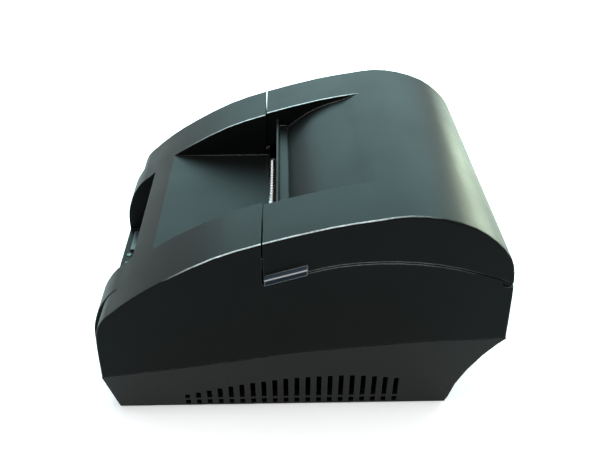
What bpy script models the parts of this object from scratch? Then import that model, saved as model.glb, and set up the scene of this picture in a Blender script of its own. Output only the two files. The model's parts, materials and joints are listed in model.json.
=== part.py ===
"""A small receipt printer for a roll of paper 58 mm wide, with a lid hinged at its rear edge.

All sizes are in metres. X runs across the printer, its front faces -Y, and Z is up from the table.
The origin is on the table, under the middle of the printer. An outline across the printer is a list
of (y, z) points, one from the front is a list of (x, z) points, and one from above of (x, y) points.
Names that end in shares hold fractions of the sizes that they follow.
"""

import math

import bmesh
import bpy
from mathutils import Matrix, Vector

# Driving sizes of the whole printer
paper_width = 0.058
side_room = 0.029
overall_length = 0.1395
body_height = 0.0822
chin_reach = 0.0039
wall = 0.0022
gap = 0.0003
overrun = 0.003
edge_round = 0.0007
weld_distance = 0.000001

half_paper = paper_width / 2
half_width = half_paper + side_room
half_inside = half_width - wall
body_front = chin_reach - overall_length / 2
body_back = overall_length / 2
body_length = body_back - body_front
below_all = -overrun
above_all = body_height + overrun

# Side outline of the body, from the front foot of the top cover over to the rear
profile_shares = [
    (0.000, 0.220), (0.000, 0.365), (0.004, 0.461), (0.019, 0.520), (0.045, 0.562),
    (0.104, 0.641), (0.183, 0.724), (0.297, 0.822), (0.406, 0.884), (0.566, 0.954),
    (0.672, 0.985), (0.741, 1.000), (0.813, 0.987), (0.890, 0.943), (0.943, 0.879),
    (0.980, 0.806), (0.993, 0.737), (0.998, 0.620), (1.000, 0.417),
]
profile_steps = 2

# Line where the upper case meets the base pan, front to rear
skirt_shares = [
    (0.000, 0.234), (0.122, 0.262), (0.248, 0.291), (0.385, 0.327),
    (0.470, 0.353), (0.636, 0.381), (0.802, 0.405), (1.000, 0.417),
]
skirt_front = skirt_shares[0][1] * body_height
# Hollow curve under the rear of the base pan, from its underside up to the skirt line
undercut_shares = [
    (0.878, 0.000), (0.885, 0.034), (0.898, 0.127), (0.921, 0.219),
    (0.9525, 0.312), (0.981, 0.376), (1.000, 0.411),
]

# Lid: its front edge lies behind the body's front, and its lower side edge is a slow curve.
# These shares run along the lid, and up the body.
lid_setback_share = 0.4115
lid_gap = 0.0005
lid_edge_shares = [
    (0.000, 0.707), (0.182, 0.760), (0.298, 0.787), (0.452, 0.799),
    (0.608, 0.793), (0.767, 0.765), (0.931, 0.714), (0.996, 0.690),
]
lid_front = body_front + lid_setback_share * body_length
lid_length = body_back - lid_front

# Paper exit channel in the front half
channel_side_room = 0.0046
channel_floor_share = 0.669
channel_back_reach = 0.0009
half_channel = half_paper + channel_side_room
channel_floor = channel_floor_share * body_height

# Recess that carries the channel on into the lid, with a lip, a ridge and a bar at its front
recess_step = 0.0014
recess_start_share = 0.816
recess_end_drop = 0.0010
recess_run = 0.0275
lip_setback = 0.0040
lip_thickness = 0.0022
lip_drop = 0.0131
bar_rise = 0.0005
bar_depth = 0.0030
ridge_rise = 0.0024
ridge_thickness = 0.0007
groove_width = 0.0005
groove_depth = 0.0010
# The recess floor rises from the bar to the top of the lid. Shares run along this rise and up it.
recess_shares = [(0.00, 0.00), (0.14, 0.22), (0.27, 0.405), (0.41, 0.555), (0.60, 0.71), (0.77, 0.81), (1.00, 1.00)]

half_recess = half_channel + recess_step
recess_start_height = recess_start_share * body_height
recess_end_height = body_height - recess_end_drop
bar_height = recess_start_height + bar_rise
ridge_height = bar_height + ridge_rise
lip_front = lid_front + lip_setback
lip_bottom = recess_start_height - lip_drop

# Finger tabs on the two sides of the lid
tab_reach = 0.0020
tab_length = 0.0134
tab_height = 0.0028
tab_rise = 0.0040
tab_slope = 0.0010
tab_lift = 0.0003

# Control recess in the front of the upper case, with a shelf and a wall that leans back
control_side_room = 0.0015
control_shelf_rise = 0.0020
control_depth = 0.00135
control_top_setback = 0.01045
control_top_share = 0.633
control_half_width = half_paper + control_side_room
control_shelf = skirt_front + control_shelf_rise
control_top_height = control_top_share * body_height

# Raised chin across the lower front, whose foot hangs in front of the base pan.
# Its shares run from the body's front to the chin's front, and up it.
chin_side_room = 0.0136
chin_bottom_share = 0.122
chin_top_share = 0.580
chin_root = 0.0120
chin_shares = [
    (-2.115, 1.000), (-1.346, 0.947), (-0.654, 0.878), (-0.115, 0.801), (0.321, 0.722),
    (0.628, 0.637), (0.885, 0.536), (0.985, 0.432), (1.000, 0.330), (0.985, 0.200), (0.885, 0.000),
]
chin_half_width = half_width - chin_side_room
chin_bottom = chin_bottom_share * body_height
chin_top = chin_top_share * body_height

# Base pan
pan_bottom = 0.0004
pan_lean = 0.0050
pan_toe = 0.0033
pan_floor = pan_bottom + wall
pan_bottom_half_width = half_width - pan_lean
vent_count = 20
vent_first = 0.0277
vent_pitch = 0.00385
vent_width = 0.0018
vent_low = 0.0012
vent_rib_low = 0.0038
vent_rib_high = 0.0048
vent_top_shares = [
    (0.000, 0.086), (0.105, 0.111), (0.211, 0.139), (0.316, 0.157), (0.421, 0.174), (0.526, 0.186),
    (0.632, 0.194), (0.737, 0.196), (0.842, 0.191), (0.947, 0.180), (1.000, 0.172),
]
vent_depth = 0.0060

# Rubber feet
foot_radius = 0.0050
foot_height = 0.0017
foot_inset_x = 0.0110
foot_front = 0.0270
foot_rear = 0.0400

# Lid hinge along the rear edge
hinge_back = 0.0022
hinge_height_share = 0.696
barrel_radius = 0.0019
hinge_relief = 0.0022
barrel_side_room = 0.0200
knuckle_clearance = 0.0005
pin_radius = 0.0009
pin_overlap = 0.0095
pin_cover = 0.0023
bore_spare = 0.0005
knuckle_web_rear = 0.0012
knuckle_web_front = 0.0018
knuckle_web_drop = 0.0045

hinge_y = body_back - hinge_back
hinge_height = hinge_height_share * body_height
barrel_half_length = half_width - barrel_side_room
knuckle_end = half_inside - knuckle_clearance
pin_start = barrel_half_length - pin_overlap
pin_end = knuckle_end - pin_cover
bore_start = pin_start - bore_spare

# Side plates of the print mechanism, outside the paper's edges
frame_plate_room = 0.0072
frame_plate = 0.0012
frame_plate_inner = half_paper + frame_plate_room
half_frame = frame_plate_inner + frame_plate

# Platen roller and its bracket, carried by the lid
platen_behind_lid_front = 0.0084
platen_drop = 0.0080
platen_radius = 0.0050
shaft_radius = 0.0020
shaft_spare = 0.0002
bush_radius = 0.0030
bush_inner_reach = 0.0023
bush_outer_reach = 0.0007
bush_inner = frame_plate_inner - bush_inner_reach
bush_outer = half_frame + bush_outer_reach
ear_thickness = 0.0010
ear_inner = bush_inner + gap
bracket_drop = 0.0051
bracket_thickness = 0.0012
bracket_front_gap = 0.0004
bracket_depth = 0.0098
ear_drop = 0.0050
ear_half_depth = 0.0045
ear_shoulder_drop = 0.0050
ear_front_rise = 0.0034
ear_lip_gap = 0.0004
bracket_screw_x = 0.0200
bracket_screw_back = 0.0085
bracket_boss_radius = 0.0030
bracket_boss_hole_depth = 0.0040

bracket_plate_low = recess_start_height - bracket_drop
platen_y = lid_front + platen_behind_lid_front
platen_height = channel_floor - platen_drop

# Gear train: platen gear, two-step idler and motor pinion
gear_module = 0.0005
platen_teeth = 24
idler_small_teeth = 16
idler_large_teeth = 42
pinion_teeth = 14
gear_inner = bush_outer + 2 * gap
gear_face = 0.0025
gear_step_gap = 0.0006
gear_outer_face = 0.0022
idler_post_radius = 0.0015
idler_post_head_radius = 0.0024
idler_post_head = 0.0009
idler_angle = math.radians(250)
pinion_angle = math.radians(188)
addendum_share = 0.80
dedendum_share = 1.15
tooth_share = 0.43
flank_steps = 2
pressure_angle = math.radians(20)

# Print mechanism frame, under the exit channel. Its heights are measured from the platen's axis.
frame_front_gap = 0.0200
frame_rear_gap = 0.0137
frame_bottom_drop = 0.0230
frame_top_rise = 0.0045
frame_tie_drop = 0.0030
frame_screw_inset_front = 0.0040
frame_screw_inset_rear = 0.0045
frame_screw_reach = 0.0071
frame_ear_half = 0.0035
frame_post_radius = 0.0030
frame_post_depth = 0.0090
guide_drop = 0.0072
guide_front = 0.0016
guide_rear = 0.0053
guide_window_half = 0.0020
guide_window_depth = 0.0020

frame_front = lid_front - frame_front_gap
frame_rear = lid_front + frame_rear_gap
frame_bottom = platen_height - frame_bottom_drop
frame_top = platen_height + frame_top_rise
frame_tie_top = platen_height - frame_tie_drop
frame_screw_front = frame_front + frame_screw_inset_front
frame_screw_rear = frame_rear - frame_screw_inset_rear
frame_screw_x = half_frame + frame_screw_reach
guide_low = platen_height - guide_drop

# Thermal head, leaning forward, pressed on the platen by two springs
head_lean = math.radians(12)
head_side_room = 0.0030
head_plate = 0.0012
head_drop = 0.0100
head_rise = 0.0028
sink_side_room = 0.0010
sink_thickness = 0.0025
pivot_drop = 0.0152
pivot_radius = 0.0012
pivot_barrel_radius = 0.0024
pivot_spare = 0.0002
spring_radius = 0.0020
spring_x = 0.0180
spring_rise = 0.0003
spring_length = 0.0037
spring_bar_drop = 0.0024
spring_bar_rise = 0.0030
spring_bar_thickness = 0.0020

head_half_length = half_paper + head_side_room
sink_half_length = head_half_length + sink_side_room
pivot_half_length = half_frame + pivot_spare
head_low = platen_height - head_drop
head_top = platen_height + head_rise
pivot_height = platen_height - pivot_drop
spring_height = platen_height + spring_rise
spring_bar_low = platen_height - spring_bar_drop
spring_bar_top = platen_height + spring_bar_rise

# Tear blade on the mechanism frame, as wide as the paper
blade_thickness = 0.0008
blade_behind_lid_front = 0.0023
blade_rise = 0.0002
blade_flange_depth = 0.0105
blade_flange = 0.0010
blade_tooth_pitch = 0.0020
blade_tooth_height = 0.0012
blade_top = channel_floor + blade_rise

# Stepping motor
motor_radius = 0.0080
motor_length = 0.0230
motor_flange_half_height = 0.0045
motor_flange_half_width = 0.0095
motor_flange = 0.0008
motor_shaft_radius = 0.0010
motor_shaft_depth = 0.0060

# Main board on the pan floor
board_side_room = 0.0175
board_front_reach = 0.0098
board_rear_gap = 0.0246
board_low = 0.0080
board_thickness = 0.0016
board_post_radius = 0.0028
board_post_depth = 0.0040
board_screw_inset_x = 0.0045
board_screw_inset_front = 0.0040
board_screw_inset_rear = 0.0050
chip_half = 0.0050
chip_height = 0.0012
chip_back = 0.0250
plug_half_width = 0.0140
plug_depth = 0.0040
plug_height = 0.0026
capacitor_radius = 0.0050
capacitor_height = 0.0140
capacitor_x = -0.0200
capacitor_back = 0.0300

board_half_width = half_width - board_side_room
board_y_front = lid_front - board_front_reach
board_y_rear = body_back - board_rear_gap
board_top = board_low + board_thickness

# Rear bay and its sockets
bay_side_room = 0.0130
bay_setback = 0.0223
bay_roof_room = 0.0008
socket_inset = 0.0002
socket_clearance = 0.0003
socket_height = 0.0110
corner_socket_inset = 0.0120
bay_half_width = half_width - bay_side_room
bay_wall_y = body_back - bay_setback
socket_low = board_top + gap

usb_x = 0.0100
usb_width = 0.0120
usb_length = 0.0160
usb_mouth_width = 0.0085
usb_mouth_height = 0.0078
usb_tongue_width = 0.0056
usb_tongue_height = 0.0032
usb_depth = 0.0090

jack_x = -0.0100
jack_width = 0.0090
jack_length = 0.0140
jack_bore = 0.0032
jack_pin = 0.0010
jack_depth = 0.0090

drawer_x = corner_socket_inset - bay_half_width
drawer_width = 0.0132
drawer_length = 0.0180
drawer_mouth_width = 0.0100
drawer_mouth_height = 0.0068
drawer_notch_width = 0.0060
drawer_notch_height = 0.0018
drawer_depth = 0.0120

switch_x = bay_half_width - corner_socket_inset
switch_half_width = 0.0048
switch_half_height = 0.0069
switch_centre_height = 0.0140
switch_length = 0.0140
bezel_half_width = 0.0056
bezel_half_height = 0.0078
bezel_thickness = 0.0015
rocker_half_width = 0.0033
rocker_pivot_depth = 0.0045
rocker_depth_back = 0.0015
rocker_half_back = 0.0025
rocker_shoulder = 0.0020
rocker_half_shoulder = 0.0044
rocker_end = 0.0056
rocker_half_end = 0.0046
rocker_dip = 0.0046
rocker_tilt = math.radians(12)
rocker_room = 0.0001
trunnion_radius = 0.0007
trunnion_half_length = 0.0040
rocker_pocket_depth = 0.0075

bay_top = switch_centre_height + bezel_half_height + bay_roof_room
socket_top = max(socket_low + socket_height, switch_centre_height + switch_half_height)

# Paper tray: a trough for the roll under a deck that fills the case. The roll is as large as
# the room between the mechanism and the rear, and between the sockets and the lid, allows.
tray_wall = 0.0018
roll_side_room = 0.0010
roll_front_clearance = 0.0010
roll_rear_margin = 0.0105
roll_clearance = 0.0008
roll_roof_room = 0.0077
roll_half_width = half_paper + roll_side_room
roll_low = socket_top + roll_clearance + tray_wall
roll_length_room = body_back - roll_rear_margin - frame_rear - roll_front_clearance - 2 * tray_wall
roll_height_room = body_height - roll_roof_room - roll_low
roll_radius = min(roll_length_room, roll_height_room) / 2
roll_height = roll_low + roll_radius
roll_y = frame_rear + roll_front_clearance + tray_wall + roll_radius

deck_drop = 0.0010
deck_gap = 0.0006
deck_front_gap = 0.0162
deck_rear_gap = 0.0062
ledge_width = 0.0025
ledge_height = 0.0020
ledge_start = 0.0180
tray_block = 0.0060
tray_block_height = 0.0080
tray_screw_inset = 0.0033
tray_segments = 20
deck_top = channel_floor - deck_drop
tray_screw_x = half_inside - tray_screw_inset

# Case screws, from below
boss_side_room = 0.0120
boss_front = 0.0160
boss_rear = 0.0290
boss_radius = 0.0034
standoff_radius = 0.0046
standoff_top = 0.0137
counterbore_radius = 0.0030
counterbore_top = 0.0097
boss_hole_depth = 0.0070
rear_boss_drop = 0.0050
web_thickness = 0.0020
case_screw_head_radius = 0.0026
case_screw_head = 0.0020
case_screw_radius = 0.0014
case_screw_reach = 0.0060
boss_x = half_width - boss_side_room
rear_boss_top = deck_top - rear_boss_drop

# Small screws, and the cross in every screw's head
screw_head_radius = 0.0023
screw_head = 0.0012
screw_radius = 0.0010
cross_width = 0.0005
cross_length_share = 0.62
cross_depth_share = 0.45

# Feed button, its board and the two lamps. The board passes through a notch in the pan's
# front wall, behind the chin.
button_x = -0.02055
button_half_width = 0.00675
button_front_inset = 0.00255
button_depth = 0.0020
button_rise = 0.0008
button_flange = 0.0010
button_flange_thickness = 0.0009
button_travel = 0.0006
button_board_drop = 0.0084
button_board_thickness = 0.0013
button_board_x = -0.0145
button_board_half_width = 0.0170
button_board_inset = 0.00285
button_board_depth = 0.0140
button_board_clearance = 0.0006
button_screw_reach = 0.0140
button_screw_back = 0.0104
feed_switch_half = 0.0030
feed_switch_depth = 0.0045
lamp_radius = 0.0010
lamp_inset = 0.00245
lamp_xs = {"power_led_lens": -0.0110, "error_led_lens": -0.0054}
lamp_proud = 0.0002
lamp_chip_half = 0.0008
lamp_chip_height = 0.0006

button_board_top = control_shelf - button_board_drop
button_board_low = button_board_top - button_board_thickness
button_board_front = body_front - chin_reach + button_board_inset

# Ribbon to the thermal head, and the paper sensor
ribbon_half_width = 0.0110
ribbon_thickness = 0.0003
ribbon_drop = 0.0018
sensor_half_width = 0.0040
sensor_depth = 0.0036
sensor_height = 0.0030
ribbon_top = pivot_height - ribbon_drop

round_sides = 28
small_sides = 12


# Shape helpers


def on_axis(axis, along, pair):
    """Turn a point of an outline, and its place along the outline's axis, into (x, y, z)."""
    first, second = pair
    if axis == "x":
        return (along, first, second)
    if axis == "y":
        return (first, along, second)
    return (first, second, along)


def object_from(name, geometry):
    """Link an object that holds the geometry, with its faces pointing out."""
    bmesh.ops.recalc_face_normals(geometry, faces=geometry.faces)
    mesh = bpy.data.meshes.new(name)
    geometry.to_mesh(mesh)
    geometry.free()
    piece = bpy.data.objects.new(name, mesh)
    bpy.context.scene.collection.objects.link(piece)
    return piece


def prism(axis, outline, start, end, name="form", rounding=0.0):
    """Extrude a closed outline along an axis. Rounding bevels the edges around both ends."""
    geometry = bmesh.new()
    near = [geometry.verts.new(on_axis(axis, start, pair)) for pair in outline]
    far = [geometry.verts.new(on_axis(axis, end, pair)) for pair in outline]
    caps = [geometry.faces.new(near), geometry.faces.new(far)]
    count = len(outline)
    for index in range(count):
        following = (index + 1) % count
        geometry.faces.new((near[index], near[following], far[following], far[index]))
    if rounding:
        bmesh.ops.recalc_face_normals(geometry, faces=geometry.faces)
        rims = [edge for cap in caps for edge in cap.edges]
        bmesh.ops.bevel(geometry, geom=rims, offset=rounding, segments=2, profile=0.5, affect="EDGES")
    return object_from(name, geometry)


def box(x_range, y_range, z_range, name="form"):
    """A plain block between three pairs of limits."""
    outline = [
        (y_range[0], z_range[0]), (y_range[1], z_range[0]),
        (y_range[1], z_range[1]), (y_range[0], z_range[1]),
    ]
    return prism("x", outline, x_range[0], x_range[1], name)


def circle(centre, radius, sides=round_sides):
    """Points of a round outline."""
    turns = [2 * math.pi * (index + 0.5) / sides for index in range(sides)]
    return [(centre[0] + radius * math.cos(turn), centre[1] + radius * math.sin(turn)) for turn in turns]


def rod(axis, centre, radius, start, end, name="form", sides=round_sides):
    """A cylinder along an axis."""
    return prism(axis, circle(centre, radius, sides), start, end, name)


def smooth_curve(points, steps):
    """Points on a smooth curve through the given points, with tangents from their neighbours."""
    chords = [math.dist(points[index], points[index + 1]) for index in range(len(points) - 1)]
    tangents = []
    for index in range(len(points)):
        before = max(index - 1, 0)
        after = min(index + 1, len(points) - 1)
        span = sum(chords[before:after])
        tangents.append(tuple((points[after][k] - points[before][k]) / span for k in (0, 1)))
    curve = []
    for index, chord in enumerate(chords):
        for step in range(steps):
            t = step / steps
            weights = (2 * t**3 - 3 * t**2 + 1, t**3 - 2 * t**2 + t, 3 * t**2 - 2 * t**3, t**3 - t**2)
            curve.append(tuple(
                weights[0] * points[index][k] + weights[1] * chord * tangents[index][k]
                + weights[2] * points[index + 1][k] + weights[3] * chord * tangents[index + 1][k]
                for k in (0, 1)
            ))
    curve.append(points[-1])
    return curve


def offset_path(points, distance):
    """Shift an open path to its right by a distance, with mitred corners."""
    directions = []
    for start, end in zip(points, points[1:]):
        length = math.dist(start, end)
        directions.append(((end[0] - start[0]) / length, (end[1] - start[1]) / length))
    shifted = []
    for index, point in enumerate(points):
        before = directions[max(index - 1, 0)]
        after = directions[min(index, len(directions) - 1)]
        normal = Vector((before[1] + after[1], -before[0] - after[0])).normalized()
        mitre = distance / max(normal.dot(Vector((after[1], -after[0]))), 0.5)
        shifted.append((point[0] + normal.x * mitre, point[1] + normal.y * mitre))
    return shifted


def shifted(points, along, up):
    """Move an outline by two distances."""
    return [(point[0] + along, point[1] + up) for point in points]


def height_at(points, along):
    """Height of a path, which runs in +Y, at a place along it."""
    for start, end in zip(points, points[1:]):
        if start[0] <= along <= end[0] and end[0] > start[0]:
            return start[1] + (end[1] - start[1]) * (along - start[0]) / (end[0] - start[0])
    return points[-1][1]


def combine(operation, target, others):
    """Apply a Boolean of the target with each of the others, and remove the others."""
    for other in others:
        modifier = target.modifiers.new(other.name, "BOOLEAN")
        modifier.operation = operation
        modifier.solver = "EXACT"
        modifier.object = other
    depsgraph = bpy.context.evaluated_depsgraph_get()
    shape = bpy.data.meshes.new_from_object(target.evaluated_get(depsgraph))
    target.modifiers.clear()
    target.data = shape
    for other in others:
        bpy.data.objects.remove(other)
    return target


def carve(target, *cutters):
    return combine("DIFFERENCE", target, cutters)


def fuse(target, *additions):
    return combine("UNION", target, additions)


def keep_common(target, *limits):
    return combine("INTERSECT", target, limits)


def finish(name, form, colour, roughness, metallic=0.0, pivot=(0.0, 0.0, 0.0)):
    """Name a finished form, put its origin on its pivot, weld it and give it its own material."""
    geometry = bmesh.new()
    geometry.from_mesh(form.data)
    bmesh.ops.remove_doubles(geometry, verts=geometry.verts, dist=weld_distance)
    bmesh.ops.dissolve_degenerate(geometry, edges=geometry.edges, dist=weld_distance)
    bmesh.ops.translate(geometry, verts=geometry.verts, vec=-Vector(pivot))
    geometry.to_mesh(form.data)
    geometry.free()
    form.location = pivot
    form.name = name
    form.data.name = name
    material = bpy.data.materials.new(name)
    material.use_nodes = True
    surface = material.node_tree.nodes["Principled BSDF"]
    surface.inputs["Base Color"].default_value = (*colour, 1.0)
    surface.inputs["Roughness"].default_value = roughness
    surface.inputs["Metallic"].default_value = metallic
    form.data.materials.clear()
    form.data.materials.append(material)
    form.data.shade_smooth()
    form.data.set_sharp_from_angle(angle=math.radians(30))
    return form


# Finishes: colour, roughness, metallic

case_black = ((0.018, 0.020, 0.021), 0.42)
pan_black = ((0.030, 0.031, 0.032), 0.50)
dark_plastic = ((0.012, 0.012, 0.013), 0.55)
grey_plastic = ((0.16, 0.17, 0.18), 0.50)
white_plastic = ((0.78, 0.78, 0.74), 0.45)
amber_plastic = ((0.60, 0.36, 0.10), 0.45)
rubber = ((0.020, 0.020, 0.022), 0.85)
board_green = ((0.02, 0.16, 0.07), 0.40)
bright_steel = ((0.62, 0.63, 0.64), 0.25, 1.0)
dull_steel = ((0.45, 0.46, 0.47), 0.42, 1.0)
aluminium = ((0.70, 0.71, 0.72), 0.38, 1.0)
ceramic = ((0.55, 0.50, 0.42), 0.30)
lamp_green = ((0.05, 0.45, 0.10), 0.20)
lamp_red = ((0.55, 0.04, 0.03), 0.20)
ribbon_brown = ((0.36, 0.16, 0.04), 0.40)


# Outlines that several pieces share


def body_points(shares):
    """Points of the side view from shares of the body's length and height."""
    return [(body_front + along * body_length, up * body_height) for along, up in shares]


def body_profile():
    """Top outline of the body, from the front foot to the rear."""
    return smooth_curve(body_points(profile_shares), profile_steps)


def skirt_line():
    return smooth_curve(body_points(skirt_shares), 1)


def lid_edge_line():
    points = [(lid_front + along * lid_length, up * body_height) for along, up in lid_edge_shares]
    return smooth_curve(points, 2)


def body_form(rounding=0.0):
    """The whole body as one solid, down to the table."""
    outline = body_profile()
    outline = [(body_front, below_all)] + outline + [(body_back, below_all)]
    return prism("x", outline, -half_width, half_width, "body", rounding)


def inside_form():
    """The space inside the body's walls."""
    outline = offset_path(body_profile(), wall)
    outline = [(outline[0][0], below_all)] + outline + [(outline[-1][0], below_all)]
    return prism("x", outline, -half_inside, half_inside, "inside")


def chin_outline():
    height = chin_top - chin_bottom
    points = [(body_front - along * chin_reach, chin_bottom + up * height) for along, up in chin_shares]
    return smooth_curve(points, 2)


def chin_form(inset=0.0):
    """The raised chin, or with an inset the space inside its walls, open below."""
    outline = offset_path(chin_outline(), -inset)
    low = below_all if inset else chin_bottom
    deep = body_front + chin_root
    outline = outline + [(outline[-1][0], low), (deep, low), (deep, outline[0][1])]
    half = chin_half_width - inset
    return prism("x", outline, -half, half, "chin")


def channel_cut(growth=0.0):
    """Room of the paper channel, or with a growth that room and its walls."""
    half = half_channel + growth
    back = lid_front + (channel_back_reach if growth else overrun)
    return box((-half, half), (body_front, back), (channel_floor - growth, above_all), "channel")


def control_cut(growth=0.0):
    """Room of the control recess, or with a growth that room and its walls."""
    half = control_half_width + growth
    low = control_shelf - growth
    outline = [
        (body_front - chin_reach - overrun, low),
        (body_front + control_depth + growth, low),
        (body_front + control_top_setback + growth, control_top_height + growth),
        (body_front - chin_reach - overrun, control_top_height + growth),
    ]
    return prism("x", outline, -half, half, "control")


def recess_floor():
    start = lip_front + ridge_thickness + groove_width + bar_depth + groove_width
    rise = recess_end_height - recess_start_height
    points = [(start + along * recess_run, recess_start_height + up * rise) for along, up in recess_shares]
    return smooth_curve(points, 2)


def lid_recess_cut():
    """Room over the lid's recess, with its ridge, groove and bar at the front."""
    ridge_back = lip_front + ridge_thickness
    bar_front = ridge_back + groove_width
    bar_back = bar_front + bar_depth
    floor = recess_floor()
    outline = [
        (lid_front - overrun, lip_bottom - overrun),
        (lip_front, lip_bottom - overrun),
        (lip_front, ridge_height),
        (ridge_back, ridge_height),
        (ridge_back, bar_height - groove_depth),
        (bar_front, bar_height - groove_depth),
        (bar_front, bar_height),
        (bar_back, bar_height),
        (bar_back, recess_start_height - groove_depth),
        (floor[0][0], recess_start_height - groove_depth),
    ]
    outline = outline + floor + [(floor[-1][0], above_all), (lid_front - overrun, above_all)]
    return prism("x", outline, -half_recess, half_recess, "recess")


def lid_recess_shell():
    """The lid's recess grown by the wall, which the lid's hollow goes round."""
    under = offset_path(recess_floor(), wall)
    lip_back = lip_front + lip_thickness
    outline = [
        (lid_front - overrun, lip_bottom - overrun),
        (lip_back, lip_bottom - overrun),
        (lip_back, under[0][1]),
    ]
    outline = outline + under + [(under[-1][0], above_all), (lid_front - overrun, above_all)]
    half = half_recess + wall
    return prism("x", outline, -half, half, "recess_shell")


# Outer casings


def case_region():
    """Part of the side view that belongs to the upper case, with the chin's foot before the pan."""
    edge = shifted(lid_edge_line(), 0.0, -lid_gap)
    skirt = skirt_line()
    outline = [
        (body_front - gap, skirt[0][1]),
        (body_front - gap, below_all),
        (body_front - chin_reach - overrun, below_all),
        (body_front - chin_reach - overrun, above_all),
        (lid_front - lid_gap, above_all),
        (lid_front - lid_gap, edge[0][1]),
    ]
    outline = outline + edge[1:] + [(body_back + overrun, edge[-1][1]), (body_back + overrun, skirt[-1][1])]
    outline = outline + skirt[-2:0:-1]
    return prism("x", outline, -half_width - overrun, half_width + overrun, "case_region")


def boss_places():
    """Screw places in plan: two at the front, two at the rear."""
    front = body_front + boss_front
    rear = body_back - boss_rear
    return [(-boss_x, front), (boss_x, front), (-boss_x, rear), (boss_x, rear)]


def case_bosses(case):
    """Screw bosses that hang from the roof or from the side walls."""
    hole_top = standoff_top + gap + boss_hole_depth
    for index, (x, y) in enumerate(boss_places()):
        at_rear = index > 1
        top = rear_boss_top if at_rear else above_all
        boss = rod("z", (x, y), boss_radius, standoff_top + gap, top)
        if at_rear:
            side = math.copysign(half_inside + wall / 2, x)
            web = box(
                sorted((x, side)), (y - web_thickness / 2, y + web_thickness / 2),
                (skirt_line()[-1][1], top),
            )
            boss = fuse(boss, web)
        else:
            boss = keep_common(boss, inside_trim())
        fuse(case, boss)
        carve(case, rod("z", (x, y), case_screw_radius + gap, standoff_top - gap, hole_top, sides=small_sides))
    return case


def inside_trim(depth=wall / 2):
    """The body a little inside its skin, which trims what reaches up into a wall."""
    outline = offset_path(body_profile(), depth)
    outline = [(outline[0][0], below_all)] + outline + [(outline[-1][0], below_all)]
    return prism("x", outline, -half_width + depth, half_width - depth)


def tray_screw_y():
    return roll_y + roll_radius / 2


def case_ledges(case):
    """Ledges and screw blocks on the side walls, which carry the paper tray."""
    deck_low = deck_top - tray_wall
    ledge_top = deck_low - gap
    rear = body_back - wall - deck_rear_gap
    for side in (-1, 1):
        inner = side * (half_inside - ledge_width)
        outer = side * (half_inside + wall / 2)
        ledge = box(sorted((inner, outer)), (lid_front + ledge_start, rear), (ledge_top - ledge_height, ledge_top))
        block_inner = side * (half_inside - tray_block)
        middle = tray_screw_y()
        block = box(
            sorted((block_inner, outer)), (middle - tray_block / 2, middle + tray_block / 2),
            (ledge_top - tray_block_height, ledge_top),
        )
        fuse(case, ledge, block)
        hole = rod(
            "z", (side * tray_screw_x, middle), screw_radius + gap,
            ledge_top - tray_block_height / 2 - screw_head, ledge_top + overrun, sides=small_sides,
        )
        carve(case, hole)
    return case


def case_hinge(case):
    """Relief for the turning lid, whose rear wall swings over the rim, and the two knuckles."""
    axis = (hinge_y, hinge_height)
    reach = half_width + overrun
    rim = box((-reach, reach), (hinge_y, body_back + overrun), (hinge_height - hinge_relief, above_all))
    carve(case, rod("x", axis, hinge_relief, -reach, reach), rim)
    for side in (-1, 1):
        inner = side * (barrel_half_length + gap)
        outer = side * knuckle_end
        knuckle = rod("x", axis, barrel_radius, *sorted((inner, outer)))
        web = box(
            sorted((inner, outer)), (hinge_y - knuckle_web_front, hinge_y + knuckle_web_rear),
            (hinge_height - knuckle_web_drop, hinge_height),
        )
        fuse(case, knuckle, web)
        bore_ends = sorted((inner - side * overrun, side * (half_inside - gap)))
        carve(case, rod("x", axis, pin_radius + gap, *bore_ends, sides=small_sides))
    return case


def button_hole():
    """Limits of the feed button's hole in the shelf."""
    front = body_front - chin_reach + button_front_inset
    return front, front + button_depth


def button_post_places():
    y = button_board_front + button_screw_back
    return [(button_board_x + side * button_screw_reach, y) for side in (-1, 1)]


def case_controls(case):
    """Button hole and lamp holes through the shelf of the control recess."""
    front, back = button_hole()
    under = control_shelf - wall
    left = button_x - button_half_width - gap
    right = button_x + button_half_width + gap
    cutters = [box((left, right), (front - gap, back + gap), (under - overrun, control_shelf + overrun))]
    for x in lamp_xs.values():
        place = (x, lamp_y())
        cutters.append(rod("z", place, lamp_radius + gap, under - gap, control_shelf + overrun, sides=small_sides))
    return carve(case, *cutters)


def lamp_y():
    return body_front - chin_reach + lamp_inset


def upper_case():
    case = fuse(body_form(edge_round), chin_form())
    keep_common(case, case_region())
    hollow = fuse(inside_form(), chin_form(wall))
    carve(hollow, channel_cut(wall), control_cut(wall))
    carve(case, channel_cut(), control_cut(), hollow)
    case_bosses(case)
    case_ledges(case)
    case_hinge(case)
    case_controls(case)
    return finish("upper_case", case, *case_black)


def lid_region():
    edge = lid_edge_line()
    outline = [(lid_front, above_all)] + edge + [(body_back + overrun, edge[-1][1]), (body_back + overrun, above_all)]
    return prism("x", outline, -half_width - overrun, half_width + overrun, "lid_region")


def lid_tab(side):
    """Finger tab, which follows the lid's lower edge."""
    start = lid_front + tab_lift
    end = start + tab_length
    low = lid_edge_line()[0][1] + tab_lift
    geometry = bmesh.new()
    rows = []
    for y, lift in ((start, 0.0), (end, tab_rise)):
        bottom = low + lift
        top = bottom + tab_height
        section = [
            (half_width - wall / 2, bottom), (half_width + tab_reach, bottom),
            (half_width + tab_reach, top - tab_slope), (half_width - wall / 2, top),
        ]
        rows.append([geometry.verts.new((side * x, y, z)) for x, z in section])
    geometry.faces.new(rows[0])
    geometry.faces.new(rows[1])
    for index in range(4):
        following = (index + 1) % 4
        geometry.faces.new((rows[0][index], rows[0][following], rows[1][following], rows[1][index]))
    return object_from("tab", geometry)


def bracket_screw_places():
    y = lip_front + bracket_screw_back
    return [(-bracket_screw_x, y), (bracket_screw_x, y)]


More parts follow.
